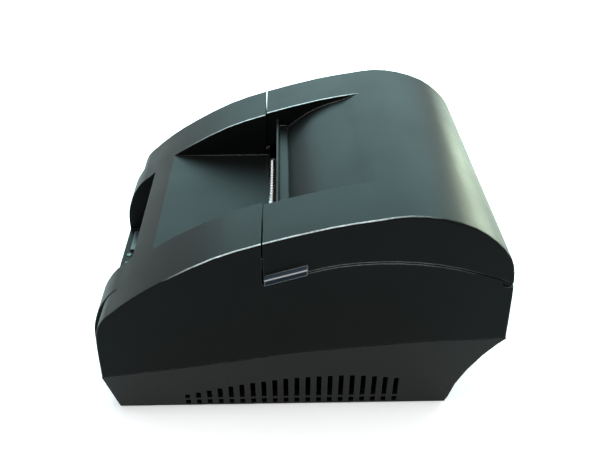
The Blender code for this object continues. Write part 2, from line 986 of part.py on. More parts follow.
def lid_bosses(lid):
    """Bosses under the recess floor for the platen bracket."""
    low = bracket_plate_low + bracket_thickness + gap
    middle = offset_path(recess_floor(), wall / 2)
    front = middle[0][0] - overrun
    over = [(front, middle[0][1])] + middle + [(middle[-1][0], above_all), (front, above_all)]
    for x, y in bracket_screw_places():
        boss = rod("z", (x, y), bracket_boss_radius, low, above_all - overrun)
        carve(boss, prism("x", over, -half_recess, half_recess))
        fuse(lid, boss)
        carve(lid, rod("z", (x, y), screw_radius + gap, low - gap, low + bracket_boss_hole_depth, sides=small_sides))
    return lid


def lid_hinge_ear(side):
    """The end of the hinge in the lid's side wall, which fills the case's relief."""
    ends = sorted((side * (half_inside + gap), side * (half_width - 2 * gap)))
    return keep_common(rod("x", (hinge_y, hinge_height), barrel_radius, *ends), inside_trim(gap))


def lid_cover():
    lid = keep_common(body_form(edge_round), lid_region())
    hollow = inside_form()
    front_block = box(
        (-half_width, half_width), (body_front - overrun, lid_front + wall), (below_all - overrun, above_all)
    )
    carve(hollow, front_block, lid_recess_shell())
    carve(lid, lid_recess_cut(), hollow)
    lip_top = recess_start_height - wall / 2
    lip_half = half_recess + wall / 2
    lip = box((-lip_half, lip_half), (lip_front, lip_front + lip_thickness), (lip_bottom, lip_top))
    fuse(lid, lip)
    for side in (-1, 1):
        fuse(lid, lid_tab(side))
        relief_ends = sorted((side * barrel_half_length, side * (half_inside - gap)))
        carve(lid, rod("x", (hinge_y, hinge_height), hinge_relief, *relief_ends))
        fuse(lid, lid_hinge_ear(side))
    fuse(lid, rod("x", (hinge_y, hinge_height), barrel_radius, -barrel_half_length, barrel_half_length))
    for side in (-1, 1):
        bore_ends = sorted((side * bore_start, side * (barrel_half_length + overrun)))
        carve(lid, rod("x", (hinge_y, hinge_height), pin_radius + gap, *bore_ends, sides=small_sides))
    lid_bosses(lid)
    return finish("lid", lid, *case_black, pivot=(0.0, hinge_y, hinge_height))


def hinge_pins():
    for side, name in ((-1, "hinge_pin_left"), (1, "hinge_pin_right")):
        ends = sorted((side * pin_start, side * pin_end))
        pin = rod("x", (hinge_y, hinge_height), pin_radius, *ends, sides=small_sides)
        finish(name, pin, *bright_steel)


def pan_outline(inset):
    """Side outline of the pan. An inset gives its inside, open at the top."""
    skirt = skirt_line()
    undercut = [point for point in body_points(undercut_shares) if point[1] > pan_bottom]
    foot = (body_points(undercut_shares)[0][0], pan_bottom)
    under = [(body_front, skirt[0][1] - gap), (body_front + pan_toe, pan_bottom), foot] + undercut
    if not inset:
        top = shifted(skirt, 0.0, -gap)
        return under + top[-1:0:-1]
    # the path runs front to rear under the pan, so its inside is on its left
    path = offset_path(under, -inset)
    path[0] = (path[0][0], skirt[0][1])
    lift = inset + overrun
    return [(path[0][0], path[0][1] + lift)] + path[1:] + [(path[-1][0], skirt[-1][1] + lift)]


def pan_side_limits(inset):
    """A loft whose sides lean in from the skirt line down to the pan's underside."""
    geometry = bmesh.new()
    rows = []
    skirt = skirt_line()
    line = [(body_front - overrun, skirt[0][1])] + skirt[1:-1] + [(body_back + overrun, skirt[-1][1])]
    for y, high in line:
        lean = (half_width - pan_bottom_half_width) / (high - pan_bottom)
        low_z = pan_bottom - overrun
        high_z = high + overrun
        low_x = pan_bottom_half_width - inset - lean * (pan_bottom - low_z)
        high_x = half_width - inset + lean * (high_z - high)
        corners = [(-low_x, low_z), (low_x, low_z), (high_x, high_z), (-high_x, high_z)]
        rows.append([geometry.verts.new((x, y, z)) for x, z in corners])
    geometry.faces.new(rows[0])
    geometry.faces.new(rows[-1])
    for first, second in zip(rows, rows[1:]):
        for index in range(4):
            following = (index + 1) % 4
            geometry.faces.new((first[index], first[following], second[following], second[index]))
    bmesh.ops.triangulate(geometry, faces=geometry.faces)
    return object_from("pan_sides", geometry)


def pan_form(inset=0.0):
    reach = half_width + overrun
    form = prism("x", pan_outline(inset), -reach, reach, "pan")
    return keep_common(form, pan_side_limits(inset))


def bay_cut(growth=0.0):
    """Room of the rear bay, or with a growth that room and its walls."""
    half = bay_half_width + growth
    return box(
        (-half, half), (bay_wall_y - growth, body_back + overrun + growth), (pan_floor - growth, bay_top + growth)
    )


def vents():
    """Slots through both sides of the pan, in two rows with a rib between them."""
    tops = smooth_curve(vent_top_shares, 2)
    cutters = []
    for index in range(vent_count):
        middle = body_front + vent_first + index * vent_pitch
        top = height_at(tops, index / (vent_count - 1)) * body_height
        for side in (-1, 1):
            x_range = sorted((side * (half_width + overrun), side * (pan_bottom_half_width + vent_width - vent_depth)))
            y_range = (middle - vent_width / 2, middle + vent_width / 2)
            cutters.append(box(x_range, y_range, (vent_low, vent_rib_low)))
            cutters.append(box(x_range, y_range, (vent_rib_high, max(top, vent_rib_high + vent_width / 2))))
    return cutters


def frame_post_places():
    return [(side * frame_screw_x, y) for side in (-1, 1) for y in (frame_screw_front, frame_screw_rear)]


def board_post_places():
    front = board_y_front + board_screw_inset_front
    rear = board_y_rear - board_screw_inset_rear
    side = board_half_width - board_screw_inset_x
    # the rear screws stand midway between the sockets beside them
    left = (jack_x - jack_width / 2 + drawer_x + drawer_width / 2) / 2
    right = (usb_x + usb_width / 2 + switch_x - switch_half_width) / 2
    return [(-side, front), (side, front), (left, rear), (right, rear)]


def pan_posts(pan):
    """Standoffs for the case screws, the print mechanism and the main board."""
    sunk = pan_floor - wall / 2
    posts = [rod("z", place, standoff_radius, sunk, standoff_top) for place in boss_places()]
    posts += [rod("z", place, frame_post_radius, sunk, frame_bottom - gap) for place in frame_post_places()]
    posts += [
        rod("z", place, board_post_radius, sunk, board_low - gap, sides=small_sides) for place in board_post_places()
    ]
    posts += [
        rod("z", place, board_post_radius, sunk, button_board_low - gap, sides=small_sides)
        for place in button_post_places()
    ]
    fuse(pan, *posts)
    holes = []
    for place in boss_places():
        holes.append(rod("z", place, counterbore_radius, pan_bottom - overrun, counterbore_top, sides=small_sides))
        holes.append(rod("z", place, case_screw_radius + gap, pan_bottom, standoff_top + overrun, sides=small_sides))
    for place in frame_post_places():
        top = frame_bottom + overrun
        holes.append(rod("z", place, screw_radius + gap, frame_bottom - frame_post_depth, top, sides=small_sides))
    for place in board_post_places():
        holes.append(rod("z", place, screw_radius + gap, board_low - board_post_depth, board_low + overrun,
                         sides=small_sides))
    for place in button_post_places():
        holes.append(rod("z", place, screw_radius + gap, button_board_low - board_post_depth,
                         button_board_low + overrun, sides=small_sides))
    return carve(pan, *holes)


def button_board_notch():
    """Room in the pan's front wall for the button board and the button's foot."""
    reach = button_board_half_width + button_board_clearance
    return box(
        (button_board_x - reach, button_board_x + reach), (body_front - overrun, body_front + pan_toe + wall),
        (button_board_low - button_board_clearance, skirt_front + overrun),
    )


def foot_places():
    front = body_front + pan_toe + foot_front
    rear = body_back - foot_rear
    x = pan_bottom_half_width - foot_inset_x
    return {
        "foot_front_left": (-x, front), "foot_front_right": (x, front),
        "foot_rear_left": (-x, rear), "foot_rear_right": (x, rear),
    }


def socket_openings():
    """Windows through the bay wall for the sockets and the switch."""
    y_range = (bay_wall_y - wall - overrun, bay_wall_y + overrun)
    sizes = [
        (usb_x, usb_width / 2, socket_low, socket_low + socket_height),
        (jack_x, jack_width / 2, socket_low, socket_low + socket_height),
        (drawer_x, drawer_width / 2, socket_low, socket_low + socket_height),
        (switch_x, switch_half_width, switch_centre_height - switch_half_height,
         switch_centre_height + switch_half_height),
    ]
    windows = []
    for x, half, low, high in sizes:
        ease = socket_clearance
        windows.append(box((x - half - ease, x + half + ease), y_range, (low - ease, high + ease)))
    return windows


def base_pan():
    pan = pan_form()
    hollow = pan_form(wall)
    carve(hollow, bay_cut(wall))
    carve(pan, bay_cut(), hollow)
    pan_posts(pan)
    carve(pan, *vents())
    carve(pan, *socket_openings(), button_board_notch())
    seats = [
        rod("z", place, foot_radius + gap, pan_bottom - overrun, foot_height + gap) for place in foot_places().values()
    ]
    carve(pan, *seats)
    return finish("base_pan", pan, *pan_black)


def feet():
    for name, place in foot_places().items():
        finish(name, rod("z", place, foot_radius, 0.0, foot_height), *rubber)


# Fasteners


def screw(name, place, head_low, head_high, tip, head_radius=screw_head_radius, radius=screw_radius):
    """A screw along Z, with a cross in its head. Its shank runs from the head to the tip."""
    head = rod("z", place, head_radius, head_low, head_high, sides=small_sides)
    shank_start = (head_low + head_high) / 2
    fuse(head, rod("z", place, radius, *sorted((shank_start, tip)), sides=small_sides))
    depth = (head_high - head_low) * cross_depth_share
    depths = (head_high - depth, head_high + overrun) if tip < head_low else (head_low - overrun, head_low + depth)
    long = head_radius * cross_length_share
    short = cross_width / 2
    x, y = place
    slots = [
        box((x - across, x + across), (y - along, y + along), depths)
        for across, along in ((long, short), (short, long))
    ]
    carve(head, fuse(*slots))
    finish(name, head, *dull_steel)


def screws():
    for index, place in enumerate(boss_places(), 1):
        top = counterbore_top - gap
        tip = standoff_top + case_screw_reach
        screw(f"case_screw_{index}", place, top - case_screw_head, top, tip, case_screw_head_radius, case_screw_radius)
    for index, place in enumerate(frame_post_places(), 1):
        low = frame_bottom + frame_plate + gap
        screw(f"mechanism_screw_{index}", place, low, low + screw_head, frame_bottom - frame_post_depth + screw_head)
    for index, place in enumerate(board_post_places(), 1):
        low = board_top + gap
        screw(f"board_screw_{index}", place, low, low + screw_head, board_low - board_post_depth + gap)
    for name, side in (("tray_screw_left", -1), ("tray_screw_right", 1)):
        place = (side * tray_screw_x, tray_screw_y())
        low = deck_top + gap
        screw(name, place, low, low + screw_head, deck_top - tray_wall - tray_block_height / 2)
    for name, place in zip(("bracket_screw_left", "bracket_screw_right"), bracket_screw_places()):
        high = bracket_plate_low - gap
        tip = bracket_plate_low + bracket_thickness + bracket_boss_hole_depth
        screw(name, place, high - screw_head, high, tip)
    for name, place in zip(("button_board_screw_left", "button_board_screw_right"), button_post_places()):
        low = button_board_top + gap
        screw(name, place, low, low + screw_head, button_board_low - board_post_depth + gap)


# Print mechanism


def head_line(distance, height):
    """Y of a plane that leans like the head, a distance in front of the head's face, at a height."""
    reach = platen_radius + gap + distance + (height - platen_height) * math.sin(head_lean)
    return platen_y - reach / math.cos(head_lean)


def leaning_slab(near, far, low, high, half, name="form"):
    outline = [
        (head_line(near, low), low), (head_line(near, high), high),
        (head_line(far, high), high), (head_line(far, low), low),
    ]
    return prism("x", outline, -half, half, name)


def pivot_place():
    return (head_line(head_plate + gap + sink_thickness / 2, pivot_height), pivot_height)


def gear_centres():
    """Centres of the idler and the pinion, worked out from the teeth in mesh."""
    first = gear_module * (platen_teeth + idler_small_teeth) / 2
    idler = (platen_y + first * math.cos(idler_angle), platen_height + first * math.sin(idler_angle))
    second = gear_module * (idler_large_teeth + pinion_teeth) / 2
    pinion = (idler[0] + second * math.cos(pinion_angle), idler[1] + second * math.sin(pinion_angle))
    return idler, pinion


def involute(angle):
    return math.tan(angle) - angle


def gear_outline(centre, teeth, phase):
    """A toothed outline with involute flanks. A tooth points along the phase angle."""
    pitch_radius = gear_module * teeth / 2
    base_radius = pitch_radius * math.cos(pressure_angle)
    tip_radius = pitch_radius + addendum_share * gear_module
    root_radius = pitch_radius - dedendum_share * gear_module
    half_tooth = math.pi * tooth_share / teeth
    flank_start = max(root_radius, base_radius)
    radii = [flank_start + (tip_radius - flank_start) * step / flank_steps for step in range(flank_steps + 1)]
    flank = [(root_radius, half_tooth + involute(pressure_angle))] if root_radius < base_radius else []
    for radius in radii:
        lean = involute(math.acos(min(base_radius / radius, 1.0)))
        flank.append((radius, half_tooth + involute(pressure_angle) - lean))
    outline = []
    for tooth in range(teeth):
        middle = phase + 2 * math.pi * tooth / teeth
        sides = [(radius, middle - turn) for radius, turn in flank]
        sides += [(radius, middle + turn) for radius, turn in reversed(flank)]
        outline += [(centre[0] + r * math.cos(a), centre[1] + r * math.sin(a)) for r, a in sides]
    return outline


def mechanism_frame():
    idler, pinion = gear_centres()
    y_range = (frame_front, frame_rear)
    frame = box((-half_frame, half_frame), y_range, (frame_bottom, frame_bottom + frame_plate))
    parts = []
    for side in (-1, 1):
        x_range = sorted((side * frame_plate_inner, side * half_frame))
        parts.append(box(x_range, y_range, (frame_bottom + frame_plate / 2, frame_top)))
    for x, y in frame_post_places():
        outer = x + math.copysign(frame_ear_half, x)
        inner = math.copysign(frame_plate_inner + frame_plate / 2, x)
        parts.append(box(sorted((inner, outer)), (y - frame_ear_half, y + frame_ear_half),
                         (frame_bottom, frame_bottom + frame_plate)))
    inner_reach = frame_plate_inner + frame_plate / 2
    parts.append(box((-inner_reach, inner_reach), (frame_front, frame_front + frame_plate),
                     (frame_bottom + frame_plate / 2, frame_tie_top)))
    parts.append(box((-inner_reach, inner_reach), (platen_y - guide_front, platen_y + guide_rear),
                     (guide_low, guide_low + frame_plate)))
    near = head_plate + sink_thickness + 3 * gap + spring_length
    back = head_line(near, spring_bar_top)
    bar = [
        (head_line(near, spring_bar_low), spring_bar_low), (back, spring_bar_top),
        (back - spring_bar_thickness, spring_bar_top), (back - spring_bar_thickness, spring_bar_low),
    ]
    parts.append(prism("x", bar, -inner_reach, inner_reach))
    fuse(frame, *parts)
    ends = (-half_frame - overrun, half_frame + overrun)
    right = (frame_plate_inner - frame_plate, half_frame + frame_plate)
    swing = hinge_y - platen_y
    drop = hinge_height - platen_height
    forward = math.hypot(swing, drop) - swing
    room = bush_radius + gap
    slot = box(ends, (platen_y - room - forward, platen_y + room), (platen_height, frame_top + overrun))
    holes = [
        rod("x", (platen_y, platen_height), room, *ends),
        slot,
        rod("x", pivot_place(), pivot_radius + gap, *ends, sides=small_sides),
        rod("x", idler, idler_post_radius + gap, *right, sides=small_sides),
        rod("x", pinion, 2 * motor_shaft_radius, *right, sides=small_sides),
        box((-guide_window_half, guide_window_half), (platen_y, platen_y + guide_window_depth),
            (guide_low - overrun, guide_low + frame_plate + gap)),
    ]
    for place in frame_post_places():
        low = frame_bottom - overrun
        holes.append(rod("z", place, screw_radius + gap, low, frame_bottom + 2 * frame_plate, sides=small_sides))
    ribbon_y = ribbon_place()
    holes.append(box((-ribbon_half_width - gap, ribbon_half_width + gap),
                     (ribbon_y - plug_depth / 2, ribbon_y + plug_depth / 2),
                     (frame_bottom - overrun, frame_bottom + frame_plate + overrun)))
    carve(frame, *holes)
    return finish("mechanism_frame", frame, *dull_steel)


def thermal_head():
    plate = leaning_slab(0.0, head_plate, head_low, head_top, head_half_length)
    pivot = (0.0, *pivot_place())
    finish("thermal_head", plate, *ceramic, pivot=pivot)
    near = head_plate + gap
    low = pivot_height
    sink = leaning_slab(near, near + sink_thickness, low, head_top, sink_half_length)
    fuse(sink, rod("x", pivot_place(), pivot_barrel_radius, -sink_half_length, sink_half_length))
    ends = (-sink_half_length - overrun, sink_half_length + overrun)
    carve(sink, rod("x", pivot_place(), pivot_radius + gap, *ends, sides=small_sides))
    finish("head_heatsink", sink, *aluminium, pivot=pivot)
    shaft = rod("x", pivot_place(), pivot_radius, -pivot_half_length, pivot_half_length, sides=small_sides)
    finish("head_pivot_shaft", shaft, *bright_steel)


def head_springs():
    """Two springs that stand square on the back of the heat sink."""
    start_distance = head_plate + sink_thickness + 2 * gap
    for name, x in (("head_spring_left", -spring_x), ("head_spring_right", spring_x)):
        start = Vector((x, head_line(start_distance, spring_height), spring_height))
        direction = Vector((0.0, -math.cos(head_lean), -math.sin(head_lean)))
        middle = start + direction * spring_length / 2
        geometry = bmesh.new()
        turn = direction.to_track_quat("Z", "Y").to_matrix().to_4x4()
        bmesh.ops.create_cone(
            geometry, cap_ends=True, segments=small_sides, radius1=spring_radius, radius2=spring_radius,
            depth=spring_length, matrix=Matrix.Translation(middle) @ turn,
        )
        finish(name, object_from(name, geometry), *bright_steel)


def tear_blade():
    """An angle of sheet steel with a toothed upper edge, on the frame's spring bar."""
    back = lid_front + blade_behind_lid_front
    front = back - blade_thickness
    low = spring_bar_top + gap
    outline = [(-half_paper, low), (half_paper, low)]
    count = round(2 * half_paper / blade_tooth_pitch)
    pitch = 2 * half_paper / count
    valley = blade_top - blade_tooth_height
    for index in range(count):
        right = half_paper - index * pitch
        outline.append((right, valley))
        outline.append((right - pitch / 2, blade_top))
    outline.append((-half_paper, valley))
    blade = prism("y", outline, front, back)
    flange = box((-half_paper, half_paper), (back - blade_flange_depth, back - blade_thickness / 2),
                 (low, low + blade_flange))
    fuse(blade, flange)
    return finish("tear_blade", blade, *bright_steel)


def ribbon_place():
    return pivot_place()[0] - pivot_barrel_radius - 2 * gap


def head_ribbon():
    """Flat cable from the main board up to the foot of the head."""
    y = ribbon_place()
    low = board_top + plug_height + gap
    ribbon = box((-ribbon_half_width, ribbon_half_width), (y - ribbon_thickness, y), (low, ribbon_top))
    return finish("head_ribbon", ribbon, *ribbon_brown)


def paper_sensor():
    high = guide_low - gap
    sensor = box((-sensor_half_width, sensor_half_width), (platen_y, platen_y + sensor_depth),
                 (high - sensor_height, high))
    return finish("paper_sensor", sensor, *dark_plastic)


# Gears and motor


def toothed_wheel(centre, teeth, phase, start, end):
    return prism("x", gear_outline(centre, teeth, phase), start, end)


def gears():
    idler, pinion = gear_centres()
    platen_centre = (platen_y, platen_height)
    small_end = gear_inner + gear_face
    large_start = small_end + gear_step_gap
    large_end = large_start + gear_outer_face
    wheel = toothed_wheel(platen_centre, platen_teeth, idler_angle, gear_inner, small_end)
    bore_ends = (gear_inner - overrun, large_end + overrun)
    carve(wheel, rod("x", platen_centre, shaft_radius + gap, *bore_ends, sides=small_sides))
    finish("platen_gear", wheel, *white_plastic, pivot=(0.0, *platen_centre))
    # a gap between two teeth of each driving wheel faces the tooth that it meets
    small_phase = idler_angle + math.pi + math.pi / idler_small_teeth
    small = toothed_wheel(idler, idler_small_teeth, small_phase, gear_inner, large_start + gap)
    large = toothed_wheel(idler, idler_large_teeth, pinion_angle, large_start, large_end)
    fuse(large, small)
    carve(large, rod("x", idler, idler_post_radius + gap, *bore_ends, sides=small_sides))
    finish("idler_gear", large, *white_plastic, pivot=(0.0, *idler))
    pinion_phase = pinion_angle + math.pi + math.pi / pinion_teeth
    drive = toothed_wheel(pinion, pinion_teeth, pinion_phase, large_start, large_end)
    shaft_start = frame_plate_inner - gap - motor_shaft_depth
    fuse(drive, rod("x", pinion, motor_shaft_radius, shaft_start, large_start + gap, sides=small_sides))
    finish("motor_pinion", drive, *bright_steel, pivot=(0.0, *pinion))
    post = rod("x", idler, idler_post_radius, frame_plate_inner - gap, large_end + gap, sides=small_sides)
    inner_end = frame_plate_inner - gap
    outer_end = large_end + gap
    head = idler_post_head_radius
    inner_head = rod("x", idler, head, inner_end - idler_post_head, inner_end, sides=small_sides)
    outer_head = rod("x", idler, head, outer_end, outer_end + idler_post_head, sides=small_sides)
    fuse(post, inner_head, outer_head)
    finish("idler_post", post, *bright_steel)


def stepper_motor():
    pinion = gear_centres()[1]
    face = frame_plate_inner - gap
    motor = rod("x", pinion, motor_radius, face - motor_length, face)
    y_range = (pinion[0] - motor_flange_half_width, pinion[0] + motor_flange_half_width)
    z_range = (pinion[1] - motor_flange_half_height, pinion[1] + motor_flange_half_height)
    fuse(motor, box((face - motor_flange, face), (max(y_range[0], frame_front + frame_plate + gap), y_range[1]),
                    z_range))
    bore_start_x = face - motor_shaft_depth - gap
    carve(motor, rod("x", pinion, motor_shaft_radius + gap, bore_start_x, face + overrun, sides=small_sides))
    return finish("stepper_motor", motor, *dull_steel)


# Platen and its bracket


def platen_parts():
    centre = (platen_y, platen_height)
    pivot = (0.0, *centre)
    shaft_right = gear_inner + gear_face + shaft_spare
    shaft = rod("x", centre, shaft_radius, -bush_outer - gap, shaft_right, sides=small_sides)
    finish("platen_shaft", shaft, *bright_steel, pivot=pivot)
    roller = rod("x", centre, platen_radius, -half_paper, half_paper)
    ends = (-half_paper - overrun, half_paper + overrun)
    carve(roller, rod("x", centre, shaft_radius + gap, *ends, sides=small_sides))
    finish("platen_roller", roller, *rubber, pivot=pivot)
    for name, side in (("platen_bush_left", -1), ("platen_bush_right", 1)):
        span = sorted((side * bush_inner, side * bush_outer))
        bush = rod("x", centre, bush_radius, *span)
        carve(bush, rod("x", centre, shaft_radius + gap, span[0] - overrun, span[1] + overrun, sides=small_sides))
        finish(name, bush, *amber_plastic)


def platen_bracket():
    plate_front = lip_front + lip_thickness + bracket_front_gap
    plate_back = plate_front + bracket_depth
    plate_top = bracket_plate_low + bracket_thickness
    ear_outer = ear_inner + ear_thickness
    bracket = box((-ear_outer, ear_outer), (plate_front, plate_back), (bracket_plate_low, plate_top))
    outline = [
        (plate_front, plate_top), (plate_back, plate_top), (plate_back, bracket_plate_low - ear_shoulder_drop),
        (platen_y + ear_half_depth, platen_height), (platen_y + ear_half_depth, platen_height - ear_drop),
        (platen_y - ear_half_depth, platen_height - ear_drop),
        (platen_y - ear_half_depth, platen_height + ear_front_rise),
        (plate_front, lip_bottom - ear_lip_gap),
    ]
    ears = [prism("x", outline, *sorted((side * ear_inner, side * ear_outer))) for side in (-1, 1)]
    fuse(bracket, *ears)
    holes = [rod("x", (platen_y, platen_height), bush_radius + gap, -ear_outer - overrun, ear_outer + overrun)]
    for place in bracket_screw_places():
        low = bracket_plate_low - overrun
        holes.append(rod("z", place, screw_radius + gap, low, plate_top + overrun, sides=small_sides))
    carve(bracket, *holes)
    return finish("platen_bracket", bracket, *dull_steel)


# Paper tray


def trough_outline(radius, end_height):
    """The lower part of a circle round the roll, closed straight up to a height."""
    points = []
    for index in range(tray_segments + 1):
        turn = math.pi + math.pi * index / tray_segments
        points.append((roll_y + radius * math.cos(turn), roll_height + radius * math.sin(turn)))
    return points + [(points[-1][0], end_height), (points[0][0], end_height)]


def paper_tray():
    half_deck = half_inside - deck_gap
    y_range = (lid_front + deck_front_gap, body_back - deck_rear_gap)
    tray = box((-half_deck, half_deck), y_range, (deck_top - tray_wall, deck_top))
    outer = roll_half_width + tray_wall
    fuse(tray, prism("x", trough_outline(roll_radius + tray_wall, deck_top - tray_wall / 2), -outer, outer))
    trough = prism("x", trough_outline(roll_radius, deck_top + overrun), -roll_half_width, roll_half_width)
    holes = [
        rod("z", (side * tray_screw_x, tray_screw_y()), screw_radius + gap, deck_top - tray_wall - overrun,
            deck_top + overrun, sides=small_sides)
        for side in (-1, 1)
    ]
    carve(tray, trough, *holes)
    return finish("paper_tray", tray, *dark_plastic)


# Boards and sockets


def main_board():
    board = box((-board_half_width, board_half_width), (board_y_front, board_y_rear), (board_low, board_top))
    chip_y = board_y_front + chip_back
    sunk = board_top - board_thickness / 2
    chip = box((-chip_half, chip_half), (chip_y - chip_half, chip_y + chip_half), (sunk, board_top + chip_height))
    y = ribbon_place()
    plug = box((-plug_half_width, plug_half_width), (y - plug_depth / 2, y + plug_depth / 2),
               (sunk, board_top + plug_height))
    fuse(board, chip, plug)
    holes = [
        rod("z", place, screw_radius + gap, board_low - overrun, board_top + overrun, sides=small_sides)
        for place in board_post_places()
    ]
    ease = socket_clearance
    holes.append(box(
        (switch_x - switch_half_width - ease, switch_x + switch_half_width + ease),
        (bay_wall_y + gap - switch_length - ease, board_y_rear + overrun), (board_low - overrun, board_top + overrun),
    ))
    carve(board, *holes)
    finish("main_board", board, *board_green)
    place = (capacitor_x, board_y_front + capacitor_back)
    capacitor = rod("z", place, capacitor_radius, board_top + gap, board_top + gap + capacitor_height)
    finish("power_capacitor", capacitor, *dark_plastic)


def socket_body(x, width, length):
    face = bay_wall_y - socket_inset
    return box((x - width / 2, x + width / 2), (face - length, face), (socket_low, socket_low + socket_height))


def usb_socket():
    body = socket_body(usb_x, usb_width, usb_length)
    face = bay_wall_y - socket_inset
    middle = socket_low + socket_height / 2
    half = usb_mouth_width / 2
    half_high = usb_mouth_height / 2
    corner = usb_mouth_width / 5
    outline = [
        (usb_x - half, middle - half_high), (usb_x + half, middle - half_high),
        (usb_x + half, middle + half_high - corner), (usb_x + half - corner, middle + half_high),
        (usb_x - half + corner, middle + half_high), (usb_x - half, middle + half_high - corner),
    ]
    mouth = prism("y", outline, face - usb_depth, face + overrun)
    tongue = box(
        (usb_x - usb_tongue_width / 2, usb_x + usb_tongue_width / 2), (face - usb_depth - overrun, face - gap),
        (middle - usb_tongue_height / 2, middle + usb_tongue_height / 2),
    )
    carve(mouth, tongue)
    carve(body, mouth)
    finish("usb_socket", body, *bright_steel)


def power_jack():
    body = socket_body(jack_x, jack_width, jack_length)
    face = bay_wall_y - socket_inset
    middle = (jack_x, socket_low + socket_height / 2)
    bore = rod("y", middle, jack_bore, face - jack_depth, face + overrun)
    carve(bore, rod("y", middle, jack_pin, face - jack_depth - overrun, face - gap, sides=small_sides))
    carve(body, bore)
    finish("power_jack", body, *dark_plastic)


def drawer_socket():
    body = socket_body(drawer_x, drawer_width, drawer_length)
    face = bay_wall_y - socket_inset
    low = socket_low + (socket_height - drawer_mouth_height - drawer_notch_height) / 2
    high = low + drawer_mouth_height
    half = drawer_mouth_width / 2
    notch = drawer_notch_width / 2
    outline = [
        (drawer_x - half, low), (drawer_x + half, low), (drawer_x + half, high), (drawer_x + notch, high),
        (drawer_x + notch, high + drawer_notch_height), (drawer_x - notch, high + drawer_notch_height),
        (drawer_x - notch, high), (drawer_x - half, high),
    ]
    carve(body, prism("y", outline, face - drawer_depth, face + overrun))
    finish("drawer_socket", body, *dark_plastic)


def rocker_pivot():
    return (bay_wall_y + gap + bezel_thickness - rocker_pivot_depth, switch_centre_height)


def power_switch():
    face = bay_wall_y + gap
    front = face + bezel_thickness
    body = box(
        (switch_x - switch_half_width, switch_x + switch_half_width), (face - switch_length, face + gap),
        (switch_centre_height - switch_half_height, switch_centre_height + switch_half_height),
    )
    bezel = box(
        (switch_x - bezel_half_width, switch_x + bezel_half_width), (face, front),
        (switch_centre_height - bezel_half_height, switch_centre_height + bezel_half_height),
    )
    fuse(body, bezel)
    swing = math.hypot(rocker_end, rocker_half_end)
    angle = math.atan2(rocker_half_end, rocker_end) + rocker_tilt
    half_room = swing * math.sin(angle) + gap + rocker_room
    half = rocker_half_width + gap
    pocket = box(
        (switch_x - half, switch_x + half), (front - rocker_pocket_depth, front + overrun),
        (switch_centre_height - half_room, switch_centre_height + half_room),
    )
    reach = trunnion_half_length + gap
    bore = rod("x", rocker_pivot(), trunnion_radius + gap, switch_x - reach, switch_x + reach, sides=small_sides)
    carve(body, pocket, bore)
    finish("power_switch", body, *dark_plastic)


def power_rocker():
    pivot = rocker_pivot()
    corners = [
        (-rocker_depth_back, -rocker_half_back), (rocker_shoulder, -rocker_half_shoulder),
        (rocker_end, -rocker_half_end), (rocker_dip, 0.0), (rocker_end, rocker_half_end),
        (rocker_shoulder, rocker_half_shoulder), (-rocker_depth_back, rocker_half_back),
    ]
    cosine = math.cos(-rocker_tilt)
    sine = math.sin(-rocker_tilt)
    outline = [(pivot[0] + y * cosine - z * sine, pivot[1] + y * sine + z * cosine) for y, z in corners]
    rocker = prism("x", outline, switch_x - rocker_half_width, switch_x + rocker_half_width)
    ends = (switch_x - trunnion_half_length, switch_x + trunnion_half_length)
    fuse(rocker, rod("x", pivot, trunnion_radius, *ends, sides=small_sides))
    finish("power_rocker", rocker, *dark_plastic, pivot=(switch_x, *pivot))


# Feed button and lamps


def feed_switch_back():
    return button_board_front + feed_switch_depth


def feed_button():
    """The button's bar in its slot, on a foot that reaches back over the switch."""
    front, back = button_hole()
    left = button_x - button_half_width
    right = button_x + button_half_width
    flange_top = control_shelf - wall - gap
    flange_low = flange_top - button_flange_thickness
    button = box((left, right), (front, back), (flange_low, control_shelf + button_rise))
    flange = box((left - button_flange, right + button_flange), (front, feed_switch_back()), (flange_low, flange_top))
    fuse(button, flange)
    middle = (button_x, (front + back) / 2, control_shelf)
    finish("feed_button", button, *grey_plastic, pivot=middle)


def button_board():
    """The board with its two lamp chips, and the switch under the button's foot."""
    reach = button_board_half_width
    board = box((button_board_x - reach, button_board_x + reach),
                (button_board_front, button_board_front + button_board_depth), (button_board_low, button_board_top))
    half = lamp_chip_half
    chip_y = button_board_front + gap + half
    sunk = button_board_top - button_board_thickness / 2
    chips = [
        box((x - half, x + half), (chip_y - half, chip_y + half), (sunk, button_board_top + lamp_chip_height))
        for x in lamp_xs.values()
    ]
    fuse(board, *chips)
    holes = [
        rod("z", place, screw_radius + gap, button_board_low - overrun, button_board_top + overrun, sides=small_sides)
        for place in button_post_places()
    ]
    carve(board, *holes)
    finish("button_board", board, *board_green)
    top = control_shelf - wall - gap - button_flange_thickness - button_travel - gap
    switch = box((button_x - feed_switch_half, button_x + feed_switch_half),
                 (button_board_front, feed_switch_back()), (button_board_top + gap, top))
    finish("feed_switch", switch, *dull_steel)


def lamps():
    low = control_shelf - wall + gap
    for (name, x), colour in zip(lamp_xs.items(), (lamp_green, lamp_red)):
        lens = rod("z", (x, lamp_y()), lamp_radius, low, control_shelf + lamp_proud, sides=small_sides)
        finish(name, lens, *colour)


def clear_scene():
    for item in list(bpy.data.objects):
        bpy.data.objects.remove(item, do_unlink=True)


def build():
    clear_scene()
    base_pan()
    feet()
    upper_case()
    lid_cover()
    hinge_pins()
    paper_tray()
    mechanism_frame()
    thermal_head()
    head_springs()
    tear_blade()
    head_ribbon()
    paper_sensor()
    gears()
    stepper_motor()
    platen_parts()
    platen_bracket()
    main_board()
    usb_socket()
    power_jack()
    drawer_socket()
    power_switch()
    power_rocker()
    feed_button()
    button_board()
    lamps()
    screws()


build()
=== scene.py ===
"""Looks of a small black receipt printer: materials, finer pieces, camera, light and floor.

All sizes are in metres, in the part's own frame: X across the printer, its front towards -Y, Z up.
"""

import json
import math

